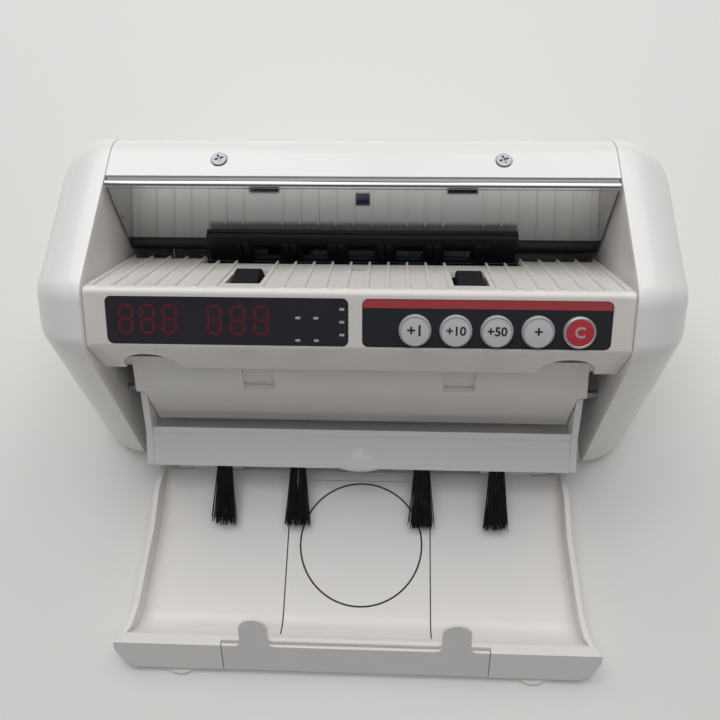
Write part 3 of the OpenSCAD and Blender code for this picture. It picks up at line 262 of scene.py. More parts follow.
def turned(profile: Sequence[Point], place: Matrix, steps: int = 48) -> bmesh.types.BMesh:
    """Turns a (radius, height) profile round the local Z axis.

    Args:
        profile: Points from the axis out and back to it, or a closed ring of them.
        place: Where the turned body stands.
        steps: Number of sides.

    Returns:
        The mesh under construction, in mm.
    """
    bm = bmesh.new()
    rings = []
    for radius, height in profile:
        if radius < 1e-6:
            rings.append([bm.verts.new((0, 0, height))])
        else:
            turns = [2 * math.pi * k / steps for k in range(steps)]
            rings.append([bm.verts.new((radius * math.cos(a), radius * math.sin(a), height)) for a in turns])
    closed = len(rings[0]) > 1
    pairs = list(zip(rings, rings[1:])) + ([(rings[-1], rings[0])] if closed else [])
    for low, high in pairs:
        for k in range(steps):
            n = (k + 1) % steps
            ring = [low[k % len(low)], low[n % len(low)], high[n % len(high)], high[k % len(high)]]
            corners = list(dict.fromkeys(ring))
            if len(corners) > 2:
                bm.faces.new(corners)
    bmesh.ops.transform(bm, matrix=place, verts=bm.verts)
    return bm


def joined(name: str, meshes: Iterable[bmesh.types.BMesh]) -> bpy.types.Object:
    """Joins several meshes under construction into one object."""
    whole = bmesh.new()
    for bm in meshes:
        bmesh.ops.recalc_face_normals(bm, faces=bm.faces)
        part = bpy.data.meshes.new("part")
        bm.to_mesh(part)
        bm.free()
        whole.from_mesh(part)
        bpy.data.meshes.remove(part)
    return object_from(name, whole, outward=False)


def refined(name: str, node: str, bevel: float, angle: float = 32, segments: int = 2) -> bpy.types.Object:
    """Copies a CAD node, merges its loose triangles and rounds its edges.

    Args:
        name: The piece's name.
        node: The CAD node.
        bevel: Bevel width in mm, or 0 for none.
        angle: Edges over this angle are rounded.
        segments: Bevel segments.

    Returns:
        The piece.
    """
    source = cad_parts[node]
    bm = bmesh.new()
    bm.from_mesh(source.data)
    bmesh.ops.transform(bm, matrix=source.matrix_world, verts=bm.verts)
    bmesh.ops.remove_doubles(bm, verts=bm.verts, dist=0.004 * MM)
    if node not in PIERCED:
        bmesh.ops.dissolve_limit(
            bm, angle_limit=math.radians(0.6), verts=bm.verts, edges=bm.edges, delimit={"NORMAL"}
        )
    bmesh.ops.recalc_face_normals(bm, faces=bm.faces)
    mesh = bpy.data.meshes.new(name)
    bm.to_mesh(mesh)
    bm.free()
    obj = bpy.data.objects.new(name, mesh)
    bpy.context.scene.collection.objects.link(obj)
    if bevel > 0:
        soften(obj, bevel, segments, angle)
    return flattened(shade(obj))


# ---------------------------------------------------------------- finishes


@dataclass(frozen=True)
class Finish:
    """A moulded, ground or plated surface.

    Attributes:
        name: The material's plain name.
        colour: sRGB hex colour.
        roughness: Mean roughness.
        metallic: 1 for bare metal.
        coat: Weight of a clear top layer.
        grain: Size of the surface texture in mm.
        relief: Height of that texture in mm.
        mottle: How far the colour drifts, 0 to 1.
        spread: How far the roughness drifts.
        stretch: Grain stretch along X, Y and Z; brushed metal has one long axis.
        specular: Reflection level of a plastic, rubber or paint.
        sheen: Weight of a dusty sheen.
    """

    name: str
    colour: str
    roughness: float
    metallic: float = 0.0
    coat: float = 0.0
    grain: float = 0.6
    relief: float = 0.01
    mottle: float = 0.04
    spread: float = 0.06
    stretch: tuple[float, float, float] = (1.0, 1.0, 1.0)
    specular: float = 0.5
    sheen: float = 0.0

    def material(self) -> bpy.types.Material:
        """Builds the material once and returns it."""
        title = f"{self.name}_finish"
        if title in bpy.data.materials:
            return bpy.data.materials[title]
        material = bpy.data.materials.new(title)
        material.use_nodes = True
        material.diffuse_color = linear(self.colour)
        tree = material.node_tree
        tree.nodes.clear()
        output = add(tree, "ShaderNodeOutputMaterial")
        place = add(tree, "ShaderNodeTexCoord").outputs["Object"]
        scaled = add(tree, "ShaderNodeMapping", {"Scale": self.stretch}, {"Vector": place}).outputs["Vector"]
        texture = {"Scale": 1 / (self.grain * MM), "Detail": 3.0, "Roughness": 0.55}
        fine = add(tree, "ShaderNodeTexNoise", texture, {"Vector": scaled})
        broad = add(tree, "ShaderNodeTexNoise", {"Scale": 1 / (DRIFT * MM), "Detail": 4.0}, {"Vector": place})
        base = linear(self.colour)
        dark = tuple(c * (1 - self.mottle) for c in base[:3]) + (1.0,)
        shades = {"data_type": "RGBA", 6: dark, 7: base}
        tint = add(tree, "ShaderNodeMix", shades, {0: broad.outputs["Fac"]})
        low, high = max(0.02, self.roughness - self.spread), min(1.0, self.roughness + self.spread)
        limits = {"From Min": 0.3, "From Max": 0.7, "To Min": low, "To Max": high}
        rough = add(tree, "ShaderNodeMapRange", limits, {"Value": broad.outputs["Fac"]})
        depth = {"Strength": 0.5, "Distance": self.relief * MM}
        bump = add(tree, "ShaderNodeBump", depth, {"Height": fine.outputs["Fac"]})
        shader = add(
            tree,
            "ShaderNodeBsdfPrincipled",
            {"Metallic": self.metallic, "Coat Weight": self.coat, "Coat Roughness": 0.12,
             "Specular IOR Level": self.specular, "Sheen Weight": self.sheen},
            {"Base Color": tint.outputs[2], "Roughness": rough.outputs["Result"],
             "Normal": bump.outputs["Normal"]},
        )
        tree.links.new(shader.outputs["BSDF"], output.inputs["Surface"])
        return material


# Injection-moulded ABS: an even warm white under a soft gloss, with a grain too fine to count.
GLOSS_WHITE_ABS = Finish(
    "gloss_white_abs", "#F8F6F3", 0.3, coat=0.18, grain=0.9, relief=0.004, mottle=0.012, spread=0.02,
)
# The same ABS from a finely etched mould: duller, and a touch warmer.
SATIN_WHITE_ABS = Finish("satin_white_abs", "#EEEBE8", 0.42, grain=0.7, relief=0.012, mottle=0.03)
# Panel and ramp moulding: the same plastic, a shade warmer and darker; the darkening is painted shade over
# the sloping panel and hopper ramp.
SHADED_PANEL_WHITE_ABS = Finish(
    "panel_white_painted_shade", "#EDE9E4", 0.3, coat=0.18, grain=0.9, relief=0.004, mottle=0.012, spread=0.02,
)
# Tray moulding, polished on its floor so that it shines softly.
TRAY_WHITE_ABS = Finish("tray_white_abs", "#F2EFEC", 0.34, coat=0.1, grain=1.1, relief=0.006, mottle=0.025)
# Painted shade: flat dark grey laid deep in the tray's gaps and ring groove, standing in for the shadow
# there.
PAINTED_GAP_SHADE = Finish("painted_gap_shade_grey", "#4C4B4B", 0.8, grain=0.6, relief=0.01, mottle=0.3, specular=0.1)
# Natural pale grey nylon of the tray's round feet.
PALE_NYLON = Finish("pale_nylon", "#E4E2DE", 0.5, grain=0.8, relief=0.01)
# Cast acrylic dyed black: deep, glossy and nearly flawless.
SMOKED_ACRYLIC = Finish(
    "smoked_acrylic", "#353339", 0.12, grain=3.0, relief=0.001, mottle=0.1, spread=0.02, specular=0.22,
)
# Printed polyester film over the keys.
BLACK_FILM = Finish("black_polyester_film", "#272A2F", 0.34, grain=0.5, relief=0.004, mottle=0.1)
# The same film printed red.
RED_FILM = Finish("red_polyester_film", "#B9474E", 0.34, grain=0.5, relief=0.004, mottle=0.08)
# Silicone key caps printed pale grey.
KEY_GREY = Finish("pale_grey_silicone", "#D6D6D8", 0.42, grain=0.4, relief=0.008, mottle=0.04)
# Silver paint on the keys' rims: small flakes, soft gloss.
SILVER_PAINT = Finish("silver_paint", "#C6C7CA", 0.36, metallic=0.6, grain=0.3, relief=0.004, mottle=0.12)
# The same silicone, unprinted, round the grey keys.
RIM_GREY = Finish("grey_silicone_rim", "#B2B2B6", 0.46, grain=0.4, relief=0.006, mottle=0.06)
# Red silicone cap.
KEY_RED = Finish("red_silicone", "#C93A44", 0.42, grain=0.4, relief=0.008, mottle=0.06)
# Screen-print inks.
DARK_INK = Finish("dark_ink", "#2A2A2E", 0.5, grain=0.3, relief=0.002)
PALE_INK = Finish("pale_ink", "#B9B9BE", 0.5, grain=0.3, relief=0.002)
# Unlit red numerals seen through the smoked window.
DIM_RED = Finish("dim_red_segment", "#66242B", 0.2, coat=0.4, grain=2.0, relief=0.002, mottle=0.25)
# Tooled stainless sheet, polished to a mirror along its length.
MIRROR_STEEL = Finish(
    "polished_stainless", "#C9CACB", 0.085, metallic=1.0, grain=0.35, relief=0.0006, mottle=0.05, spread=0.03,
    stretch=(0.05, 1.0, 1.0),
)
# Bright zinc plate: pale, slightly blue and softly blurred.
ZINC = Finish(
    "zinc_plated_steel", "#9FA1A4", 0.36, metallic=1.0, grain=0.4, relief=0.004, mottle=0.12, spread=0.1,
)
# Ground steel shafts, brushed round and round.
GROUND_STEEL = Finish(
    "ground_steel", "#B4B6BA", 0.26, metallic=1.0, grain=0.3, relief=0.003, stretch=(6, 1, 1),
)
# Pressed steel can of the motor.
CAN_STEEL = Finish(
    "pressed_steel", "#9A9CA0", 0.38, metallic=1.0, grain=0.5, relief=0.004, stretch=(0.2, 1, 1),
)
# Glass-filled black nylon: dark grey, dull, with a fine mould grain.
BLACK_NYLON = Finish("black_glass_filled_nylon", "#1B1F24", 0.46, grain=0.6, relief=0.014, mottle=0.2)
# Feed rubber: ground matt, slightly dusty on its crown.
BLACK_RUBBER = Finish("black_rubber", "#1C1E21", 0.78, grain=0.35, relief=0.03, mottle=0.22, specular=0.2)
# Drawn nylon bristle: jet black with a thin shine.
BRISTLE = Finish("nylon_bristle", "#121316", 0.38, grain=2.0, relief=0.001, mottle=0.3)
# Solder-masked glass laminate.
GREEN_BOARD = Finish("green_solder_mask", "#2C6B40", 0.36, coat=0.2, grain=0.8, relief=0.006, mottle=0.18)
# Natural acetal pulleys.
ACETAL = Finish("natural_acetal", "#E6E0D0", 0.4, grain=0.7, relief=0.006)
# Dyed window of the note sensor: nearly black, with a blue cast.
SENSOR_WINDOW = Finish("infrared_window", "#161D45", 0.12, grain=2.0, relief=0.001, mottle=0.1, spread=0.02)
# Rolled aluminium trim, brushed along its length.
BRUSHED_TRIM = Finish(
    "brushed_aluminium", "#C4C5C7", 0.4, metallic=0.7, grain=0.3, relief=0.003, mottle=0.06,
    stretch=(0.05, 1, 1),
)
# Fused lamp glass with a violet phosphor.
LAMP_GLASS = Finish("phosphor_lamp_glass", "#B7A8DC", 0.12, coat=0.6, grain=1.2, relief=0.002)
# Dark epoxy of the chips.
CHIP_EPOXY = Finish("chip_epoxy", "#26262A", 0.5, grain=0.3, relief=0.01, mottle=0.15)
# Red rocker of the mains switch.
ROCKER_RED = Finish("red_polycarbonate", "#B4282F", 0.3, coat=0.2, grain=0.6, relief=0.005)


@dataclass(frozen=True)
class Studio:
    """Floor, lamps, world and camera.

    Attributes:
        focal_px: Focal length in pixels of a square picture.
        picture_px: Width of that picture.
        eye: Camera position.
        right: Camera's right.
        up: Camera's up.
        forward: Camera's view direction.
        fill: Strength of the room's light on the object.
        backdrop: Strength at which the room is seen.
        floor_half: Half the floor's side.
        floor_colour: Floor's colour.
        sky_colour: Colour of the room's light.
        aim: Point that every lamp faces, in metres.
        lamps: Name, place and side in metres, and watts of each soft box.
    """

    focal_px: float = 776.15
    picture_px: float = 720.0
    eye: tuple[float, float, float] = (12.838, -97.511, 332.356)
    right: tuple[float, float, float] = (0.99902624, 0.02962907, -0.03269096)
    up: tuple[float, float, float] = (-0.01487904, 0.92380302, 0.38257887)
    forward: tuple[float, float, float] = (-0.04153546, 0.38171992, -0.92334431)
    fill: float = 0.18
    backdrop: float = 0.78
    floor_half: float = 2600
    floor_colour: str = "#F0EEEB"
    sky_colour: str = "#EEEEF0"
    aim: tuple[float, float, float] = (0, 0.02, 0.03)
    lamps: tuple[tuple[str, tuple[float, float, float], float, float], ...] = (
        ("rear_left", (-0.5, 0.9, 1.15), 1.0, 7.1),
        ("rear_right", (0.5, 0.9, 1.15), 1.0, 5.6),
        ("overhead", (0, 0.1, 1.45), 1.2, 6.3),
    )

    def camera(self) -> None:
        """Places the camera."""
        data = bpy.data.cameras.new("view")
        data.sensor_width = SENSOR_MM
        data.lens = self.focal_px / self.picture_px * SENSOR_MM
        data.clip_start = 0.005
        eye = bpy.data.objects.new("view", data)
        bpy.context.scene.collection.objects.link(eye)
        axes = Matrix((self.right, self.up, [-c for c in self.forward])).transposed()
        eye.matrix_world = Matrix.Translation(Vector(self.eye) * MM) @ axes.to_4x4()
        bpy.context.scene.camera = eye

    def lamp(self, name: str, place: Sequence[float], size: float, watts: float) -> None:
        """Adds one square soft box.

        Args:
            name: The lamp's name.
            place: Its position in metres.
            size: Its side in metres.
            watts: Its power.
        """
        data = bpy.data.lights.new(name, "AREA")
        data.shape = "SQUARE"
        data.size = size
        data.energy = watts
        lamp = bpy.data.objects.new(name, data)
        bpy.context.scene.collection.objects.link(lamp)
        lamp.location = place
        turn = (Vector(self.aim) - Vector(place)).to_track_quat("-Z", "Y")
        lamp.rotation_euler = turn.to_euler()

    def world(self) -> None:
        """Fills the room with even pale light."""
        world = bpy.data.worlds.new("room")
        world.use_nodes = True
        bpy.context.scene.world = world
        tree = world.node_tree
        sky = tree.nodes["Background"]
        sky.inputs["Color"].default_value = linear(self.sky_colour)
        ray = add(tree, "ShaderNodeLightPath").outputs["Is Camera Ray"]
        levels = {"To Min": self.fill, "To Max": self.backdrop}
        strength = add(tree, "ShaderNodeMapRange", levels, {"Value": ray})
        tree.links.new(strength.outputs["Result"], sky.inputs["Strength"])

    def floor(self) -> None:
        """Lays the pale floor."""
        bm = bmesh.new()
        half = self.floor_half
        corners = ((-half, -half), (half, -half), (half, half), (-half, half))
        bm.faces.new([bm.verts.new((x, y, 0)) for x, y in corners])
        ground = object_from("floor", bm, outward=False)
        finish = Finish("matt_table_laminate", self.floor_colour, 0.6, grain=1.5, relief=0.01, mottle=0.02)
        ground.data.materials.append(finish.material())

    def build(self) -> None:
        """Sets the whole stage."""
        self.camera()
        self.world()
        self.floor()
        for name, place, size, watts in self.lamps:
            self.lamp(name, place, size, watts)
        bpy.context.scene.view_settings.view_transform = "Standard"


# ---------------------------------------------------------------- side covers


class Hand(Enum):
    """Which side of the machine."""

    LEFT = -1
    RIGHT = 1


@dataclass
class SideCovers:
    """The two white covers that roll over from the flat outline to the outer wall.

    Attributes:
        corners: Outline corners as Y, Z and radius.
        seam: X of the open side.
        wall: Wall thickness.
        snug: How far the wall thickens to meet the inner wall.
        edge: Rounding of the seam's edge.
        front_roll: How far the front rolls in.
        rear_roll: How far the rear rolls in.
        bottom_roll: How far the bottom rolls in.
        top_roll: How far the top rolls in.
        centre: Y and Z that the rolling leaves in place.
        steps: Rings along the seam's edge, the outer roll and the hollow's roll.
    """

    corners: tuple[tuple[float, float, float], ...] = (
        (-9, 2, 6), (6.2, 88.7, 9), (22.6, 100.8, 12), (97, 95.2, 15), (97, 2, 8),
    )
    seam: float = 94.3
    wall: float = 2.4
    snug: float = 0.37
    edge: float = 0.2
    front_roll: float = 32
    rear_roll: float = 12
    bottom_roll: float = 6
    top_roll: float = 23
    centre: Point = (44, 48)
    steps: tuple[int, int, int] = (3, 22, 10)

    def inset(self, gap: float) -> list[Point]:
        """Returns the rounded outline moved inwards by gap."""
        moved = []
        count = len(self.corners)
        for i, (y, z, radius) in enumerate(self.corners):
            before, after = self.corners[i - 1], self.corners[(i + 1) % count]
            a = unit((y - before[0], z - before[1]))
            b = unit((after[0] - y, after[1] - z))
            normal = (a[1] + b[1], -a[0] - b[0])
            size = normal[0] ** 2 + normal[1] ** 2
            move = 2 * gap / size
            moved.append((y + normal[0] * move, z + normal[1] * move, max(radius - gap, 0.4)))
        dense: list[Point] = []
        outline = rounded(moved, 14)
        for i, p in enumerate(outline):
            q = outline[(i + 1) % len(outline)]
            parts = max(1, int(math.dist(p, q) // 6))
            run, rise = q[0] - p[0], q[1] - p[1]
            dense += [(p[0] + run * k / parts, p[1] + rise * k / parts) for k in range(parts)]
        return dense

    def rolled(self, p: Point, share: float) -> Point:
        """Moves an outline point in by its share of the rolls."""
        low_y, high_y = self.corners[0][0], self.corners[3][0]
        low_z, high_z = self.corners[0][1], self.corners[2][1]
        cy, cz = self.centre
        ky = self.front_roll / (cy - low_y) if p[0] < cy else self.rear_roll / (high_y - cy)
        kz = self.bottom_roll / (cz - low_z) if p[1] < cz else self.top_roll / (high_z - cz)
        return cy + (p[0] - cy) * (1 - share * ky), cz + (p[1] - cz) * (1 - share * kz)

    def rings(self, outline: list[Point], start: float, end: float, steps: int) -> list[list[Vector]]:
        """Rings of an outline that rolls over from start to end along X."""
        rings = []
        for k in range(steps + 1):
            turn = math.pi / 2 * k / steps
            x = start + (end - start) * math.sin(turn)
            rings.append([Vector((x, *self.rolled(p, 1 - math.cos(turn)))) for p in outline])
        return rings

    def build_one(self, hand: Hand) -> bpy.types.Object:
        """Builds one cover."""
        node = f"{hand.name.lower()}_side_cover"
        low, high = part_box(node)
        side = max(abs(low[0]), abs(high[0])) / MM
        outline = self.inset(0)
        inner = self.inset(self.wall + self.snug)
        lip_steps, outer_steps, hollow_steps = self.steps
        lip = []
        for k in range(lip_steps):
            turn = math.pi / 2 * k / lip_steps
            shrunk = self.inset(self.edge * (1 - math.sin(turn)))
            lip.append([Vector((self.seam + self.edge * (1 - math.cos(turn)), *p)) for p in shrunk])
        outer = self.rings(outline, self.seam + self.edge, side, outer_steps)
        hollow = self.rings(inner, self.seam, side - self.wall, hollow_steps)
        bm = bmesh.new()
        shells = []
        for group in (lip + outer, hollow):
            rows = [[bm.verts.new((v.x * hand.value, v.y, v.z)) for v in ring] for ring in group]
            for a, b in zip(rows, rows[1:]):
                size = len(a)
                for i in range(size):
                    j = (i + 1) % size
                    if len(b) == size:
                        bm.faces.new((a[i], a[j], b[j], b[i]))
            bm.faces.new(rows[-1])
            shells.append(rows)
        mouths = (shells[0][0], shells[1][0])
        pairs = [pair for row in mouths for pair in zip(row, row[1:] + row[:1])]
        edges = [bm.edges.get(pair) for pair in pairs]
        bmesh.ops.bridge_loops(bm, edges=[e for e in edges if e])
        cover = object_from(f"{node}_shell", bm)
        shade(cover, 50)
        return dress(cover, GLOSS_WHITE_ABS.material(), "housing", node)

    def build(self) -> None:
        """Builds both covers."""
        for hand in Hand:
            self.build_one(hand)


# ---------------------------------------------------------------- panel


@dataclass
class PanelPlane:
    """The tilted control panel: local u along X, v up the slope, w out of it.

    Attributes:
        crease: Y and Z of the panel's lower edge.
        slope: Degrees from the horizontal.
    """

    crease: Point = (7.8, 86.6)
    slope: float = 37.8

    def matrix(self, u: float, v: float, w: float) -> Matrix:
        """Where a piece at u, v, w stands."""
        turn = Matrix.Rotation(math.radians(self.slope), 4, "X")
        return Matrix.Translation((0, *self.crease)) @ turn @ Matrix.Translation((u, v, w))


PANEL = PanelPlane()


@dataclass
class DisplayWindow:
    """Smoked window with two groups of three unlit numerals and its indicator dots.

    Attributes:
        groups: U of each group's middle numeral.
        pitches: Distance between numerals in each group.
        middle: V of the numerals' middle.
        tall: Numeral height.
        wide: Numeral width.
        bar: Segment width.
        lean: Sideways lean of a numeral over its height.
        lift: Height of the print's underside over the panel.
        ink: Thickness of a bar.
        mark_ink: Thickness of a mark.
        gap: Gap at each end of a bar.
        mark: Half the length and half the height of a mark, and its corner radius.
        dots: Places of the indicator marks.
    """

    groups: Point = (-71.8, -40.5)
    pitches: Point = (7.65, 8.1)
    middle: float = 9.9
    tall: float = 10.6
    wide: float = 5.4
    bar: float = 1.15
    lean: float = 0.45
    lift: float = -0.1
    ink: float = 0.06
    mark_ink: float = 0.05
    gap: float = 0.16
    mark: tuple[float, float, float] = (0.9, 0.45, 0.4)
    dots: tuple[Point, ...] = (
        (-19.7, 11), (-13.5, 11), (-19.8, 3.1), (-13.4, 3.1), (-4.6, 14.2), (-4.6, 9.7), (-4.6, 5.2),
    )

    def segment(self, a: Point, b: Point) -> list[Point]:
        """Outline of one bar with pointed ends from a to b."""
        half = self.bar / 2
        d = unit((b[0] - a[0], b[1] - a[1]))
        n = (-d[1], d[0])

        def beside(p: Point, along: float, across: float) -> Point:
            """Moves a point along the bar and across it."""
            return p[0] + d[0] * along + n[0] * across, p[1] + d[1] * along + n[1] * across

        shoulder = self.gap + half
        low = [beside(a, shoulder, -half), beside(b, -shoulder, -half)]
        high = [beside(b, -shoulder, half), beside(a, shoulder, half)]
        return [beside(a, self.gap, 0), *low, beside(b, -self.gap, 0), *high]

    def numeral(self, u: float) -> list[bmesh.types.BMesh]:
        """All seven bars of one numeral."""
        x, y = self.wide / 2 - self.bar / 2, self.tall / 2 - self.bar / 2
        ends = [((-x, y), (x, y)), ((-x, 0), (x, 0)), ((-x, -y), (x, -y)),
                ((-x, 0), (-x, y)), ((x, 0), (x, y)), ((-x, -y), (-x, 0)), ((x, -y), (x, 0))]
        bars = []
        for a, b in ends:
            outline = [(p[0] + self.lean * p[1] / self.tall, p[1]) for p in self.segment(a, b)]
            bars.append(slab(outline, self.lift, self.lift + self.ink, PANEL.matrix(u, self.middle, 0)))
        return bars

    def build(self) -> None:
        """Builds the window, its numerals and marks."""
        window = refined("smoked_window", "display_window", 0.25)
        dress(window, SMOKED_ACRYLIC.material(), "housing", "display_window")
        bars: list[bmesh.types.BMesh] = []
        for u, pitch in zip(self.groups, self.pitches):
            for k in (-1, 0, 1):
                bars += self.numeral(u + pitch * k)
        dress(joined("unlit_numerals", bars), DIM_RED.material(), "housing")
        half_u, half_v, corner = self.mark
        ends = ((-half_u, -half_v), (half_u, -half_v), (half_u, half_v), (-half_u, half_v))
        ring = rounded([(*end, corner) for end in ends], 4)
        marks = []
        for u, v in self.dots:
            marks.append(slab(ring, self.lift, self.lift + self.mark_ink, PANEL.matrix(u, v, 0)))
        dress(joined("indicator_marks", marks), PALE_INK.material(), "housing")


class Legend(Enum):
    """What each key shows."""

    PLUS_ONE = "+1"
    PLUS_TEN = "+10"
    PLUS_FIFTY = "+50"
    PLUS = "+"
    CLEAR = "C"


@dataclass
class Keypad:
    """Black film with a red stripe and five round keys.

    Attributes:
        first: U of the first key.
        pitch: Distance between keys.
        height: V of the keys' centres.
        radius: Radius over the rim.
        rim: Width of the silver rim.
        out: How far a key stands out.
        crown: Height of a cap's middle over its rim.
        fall: Drop from there to the cap's edge.
        stripe: Height of the red stripe.
        window: Left, low, right and top edge of the film.
        lift: Height of the stripe's underside over the panel.
        ink: Thickness of the stripe.
        corner: Radius of the stripe's lower and upper corners.
        letters: Letter height of a short and of a long mark.
        weight: How far a letter's strokes are thickened.
        relief: Half the thickness of a letter.
    """

    first: float = 20.4
    pitch: float = 13.85
    height: float = 7.4
    radius: float = 5.4
    rim: float = 0.75
    out: float = 1.7
    crown: float = 0.34
    fall: float = 0.24
    stripe: float = 3.0
    window: tuple[float, float, float, float] = (2.5, 1.2, 86.7, 17.8)
    lift: float = -0.12
    ink: float = 0.06
    corner: Point = (0.1, 1.95)
    letters: Point = (5.2, 4.3)
    weight: float = 0.11
    relief: float = 0.05

    def film(self) -> None:
        """Builds the black film and the stripe on it."""
        black = refined("keypad_film", "keypad_overlay", 0.12)
        dress(black, BLACK_FILM.material(), "housing", "keypad_overlay")
        left, _, right, top = self.window
        low = top - self.stripe
        sharp, soft = self.corner
        outline = rounded([(left, low, sharp), (right, low, sharp), (right, top, soft), (left, top, soft)], 6)
        band = slab(outline, self.lift, self.lift + self.ink, PANEL.matrix(0, 0, 0))
        dress(joined("keypad_stripe", [band]), RED_FILM.material(), "housing")

    def legend(self, text: str, place: Matrix, size: float, material: bpy.types.Material, body: str) -> None:
        """Prints a mark on a key as a thin mesh.

        Args:
            text: The mark.
            place: Where its middle stands.
            size: Letter height in mm.
            material: Ink.
            body: The key's body.
        """
        curve = bpy.data.curves.new("mark", "FONT")
        curve.body = text
        curve.size = size
        curve.align_x = "CENTER"
        curve.align_y = "CENTER"
        curve.extrude = self.relief
        curve.offset = self.weight
        curve.resolution_u = 4
        shape = bpy.data.objects.new("mark", curve)
        bpy.context.scene.collection.objects.link(shape)
        graph = bpy.context.evaluated_depsgraph_get()
        mesh = bpy.data.meshes.new_from_object(shape.evaluated_get(graph))
        bpy.data.objects.remove(shape)
        bm = bmesh.new()
        bm.from_mesh(mesh)
        bmesh.ops.triangulate(bm, faces=bm.faces)
        for vert in bm.verts:
            reach = vert.co.xy.length / (self.radius - self.rim)
            vert.co.z += self.out + self.crown - self.fall * reach * reach
        bmesh.ops.transform(bm, matrix=place, verts=bm.verts)
        mark = object_from(f"legend_on_{body}", bm, outward=False)
        dress(mark, material, body)

    def key(self, index: int, node: str, body: str, legend: Legend) -> None:
        """Builds one key: rim, dished cap and its mark."""
        u = self.first + self.pitch * index
        place = PANEL.matrix(u, self.height, 0)
        cap_r = self.radius - self.rim
        skirt = refined(f"{node}_body", node, 0.0)
        red = legend is Legend.CLEAR
        dress(skirt, (KEY_RED if red else KEY_GREY).material(), body, node)
        top = self.out
        rim = [
            (cap_r - 0.1, top - 0.5), (cap_r, top + 0.1), (cap_r + 0.25, top + 0.28),
            (self.radius - 0.3, top + 0.28), (self.radius - 0.02, top + 0.05),
            (self.radius + 0.16, top - 0.5), (self.radius + 0.16, 0.3), (cap_r - 0.1, 0.3),
        ]
        ring = joined(f"{node}_rim", [turned(rim, place, 56)])
        dress(shade(ring, 40), (SILVER_PAINT if red else RIM_GREY).material(), body)
        dome = [(cap_r * s, top + self.crown - self.fall * s * s) for s in (0, 0.3, 0.55, 0.75, 0.9, 1.0)]
        cap = joined(f"{node}_cap", [turned(dome + [(cap_r - 0.02, top - 0.4), (0, top - 0.4)], place, 56)])
        dress(shade(cap, 40), (KEY_RED if red else KEY_GREY).material(), body)
        ink = (PALE_INK if red else DARK_INK).material()
        size = self.letters[0] if len(legend.value) < 3 else self.letters[1]
        self.legend(legend.value, place, size, ink, body)

    def build(self) -> None:
        """Builds film and keys."""
        self.film()
        nodes = ["key_plus_one", "key_plus_ten", "key_plus_fifty", "key_function", "key_clear"]
        for index, (node, legend) in enumerate(zip(nodes, Legend)):
            self.key(index, node, f"key_{index + 1}", legend)


@dataclass
class Mouldings:
    """White mouldings that keep the CAD shape and get soft edges.

    Attributes:
        pieces: Name, node and edge rounding.
    """

    pieces: tuple[tuple[str, str, float], ...] = (
        ("panel_and_ramp", "front_cover", 0.35),
        ("top_shell", "top_cover", 0.5),
        ("rear_shell", "rear_cover", 0.4),
        ("left_inner_wall", "left_side_frame", 0.2),
        ("right_inner_wall", "right_side_frame", 0.2),
        ("outlet_guide", "outlet_guide_cover", 0.45),
        ("floor_plate", "base_plate", 0.3),
    )

    def build(self) -> None:
        """Builds each moulding."""
        finishes = {
            # The front cover takes the darker, painted-shade copy of the white plastic.
            "front_cover": SHADED_PANEL_WHITE_ABS, "top_cover": GLOSS_WHITE_ABS, "rear_cover": GLOSS_WHITE_ABS,
        }
        for name, node, bevel in self.pieces:
            finish = finishes.get(node, SATIN_WHITE_ABS)
            dress(refined(name, node, bevel), finish.material(), "housing", node)


@dataclass
class Hopper:
    """Polished guide plate, its bar, the black separator behind the ramp and the sensor.

    Attributes:
        trim: Y and Z outline of the bright trim on the top cover's front edge.
        trim_x: Half its length.
    """

    trim: tuple[Point, ...] = (
        (72.3, 93.6), (72.3, 95.75), (71.9, 95.9), (70.4, 95.1), (70.2, 94.8), (70.6, 94.2),
    )
    trim_x: float = 93.7

    def build(self) -> None:
        """Builds the pieces round the hopper's rear."""
        plate = refined("polished_guide_plate", "rear_guide_plate", 0.0)
        dress(plate, MIRROR_STEEL.material(), "housing", "rear_guide_plate")
        trim = joined("front_edge_trim", [slab(self.trim, -self.trim_x, self.trim_x, ALONG_X)])
        dress(flattened(shade(trim)), BRUSHED_TRIM.material(), "housing")
        for name, node, bevel, finish in (
            ("separator", "separator_plate", 0.2, BLACK_NYLON),
            ("guide_tube", "rear_guide_tube", 0.3, BLACK_NYLON),
            ("retard_rubber", "retard_pads", 0.1, BLACK_RUBBER),
            ("stack_sensor", "hopper_sensor", 0.15, SENSOR_WINDOW),
            ("pan_head_screws", "cover_screws", 0.25, ZINC),
        ):
            dress(refined(name, node, bevel), finish.material(), "housing", node)


@dataclass
class PickupDrum:
    """Rubber pickup rollers on their shaft."""

    def build(self) -> None:
        """Builds the rollers, shaft and pulley."""
        for name, node, bevel, finish in (
            ("pickup_tyres", "pickup_rollers", 0.4, BLACK_RUBBER),
            ("pickup_axle", "pickup_shaft", 0.3, GROUND_STEEL),
            ("pickup_wheel", "pickup_pulley", 0.15, ACETAL),
        ):
            dress(refined(name, node, bevel), finish.material(), "pickup_drum", node)


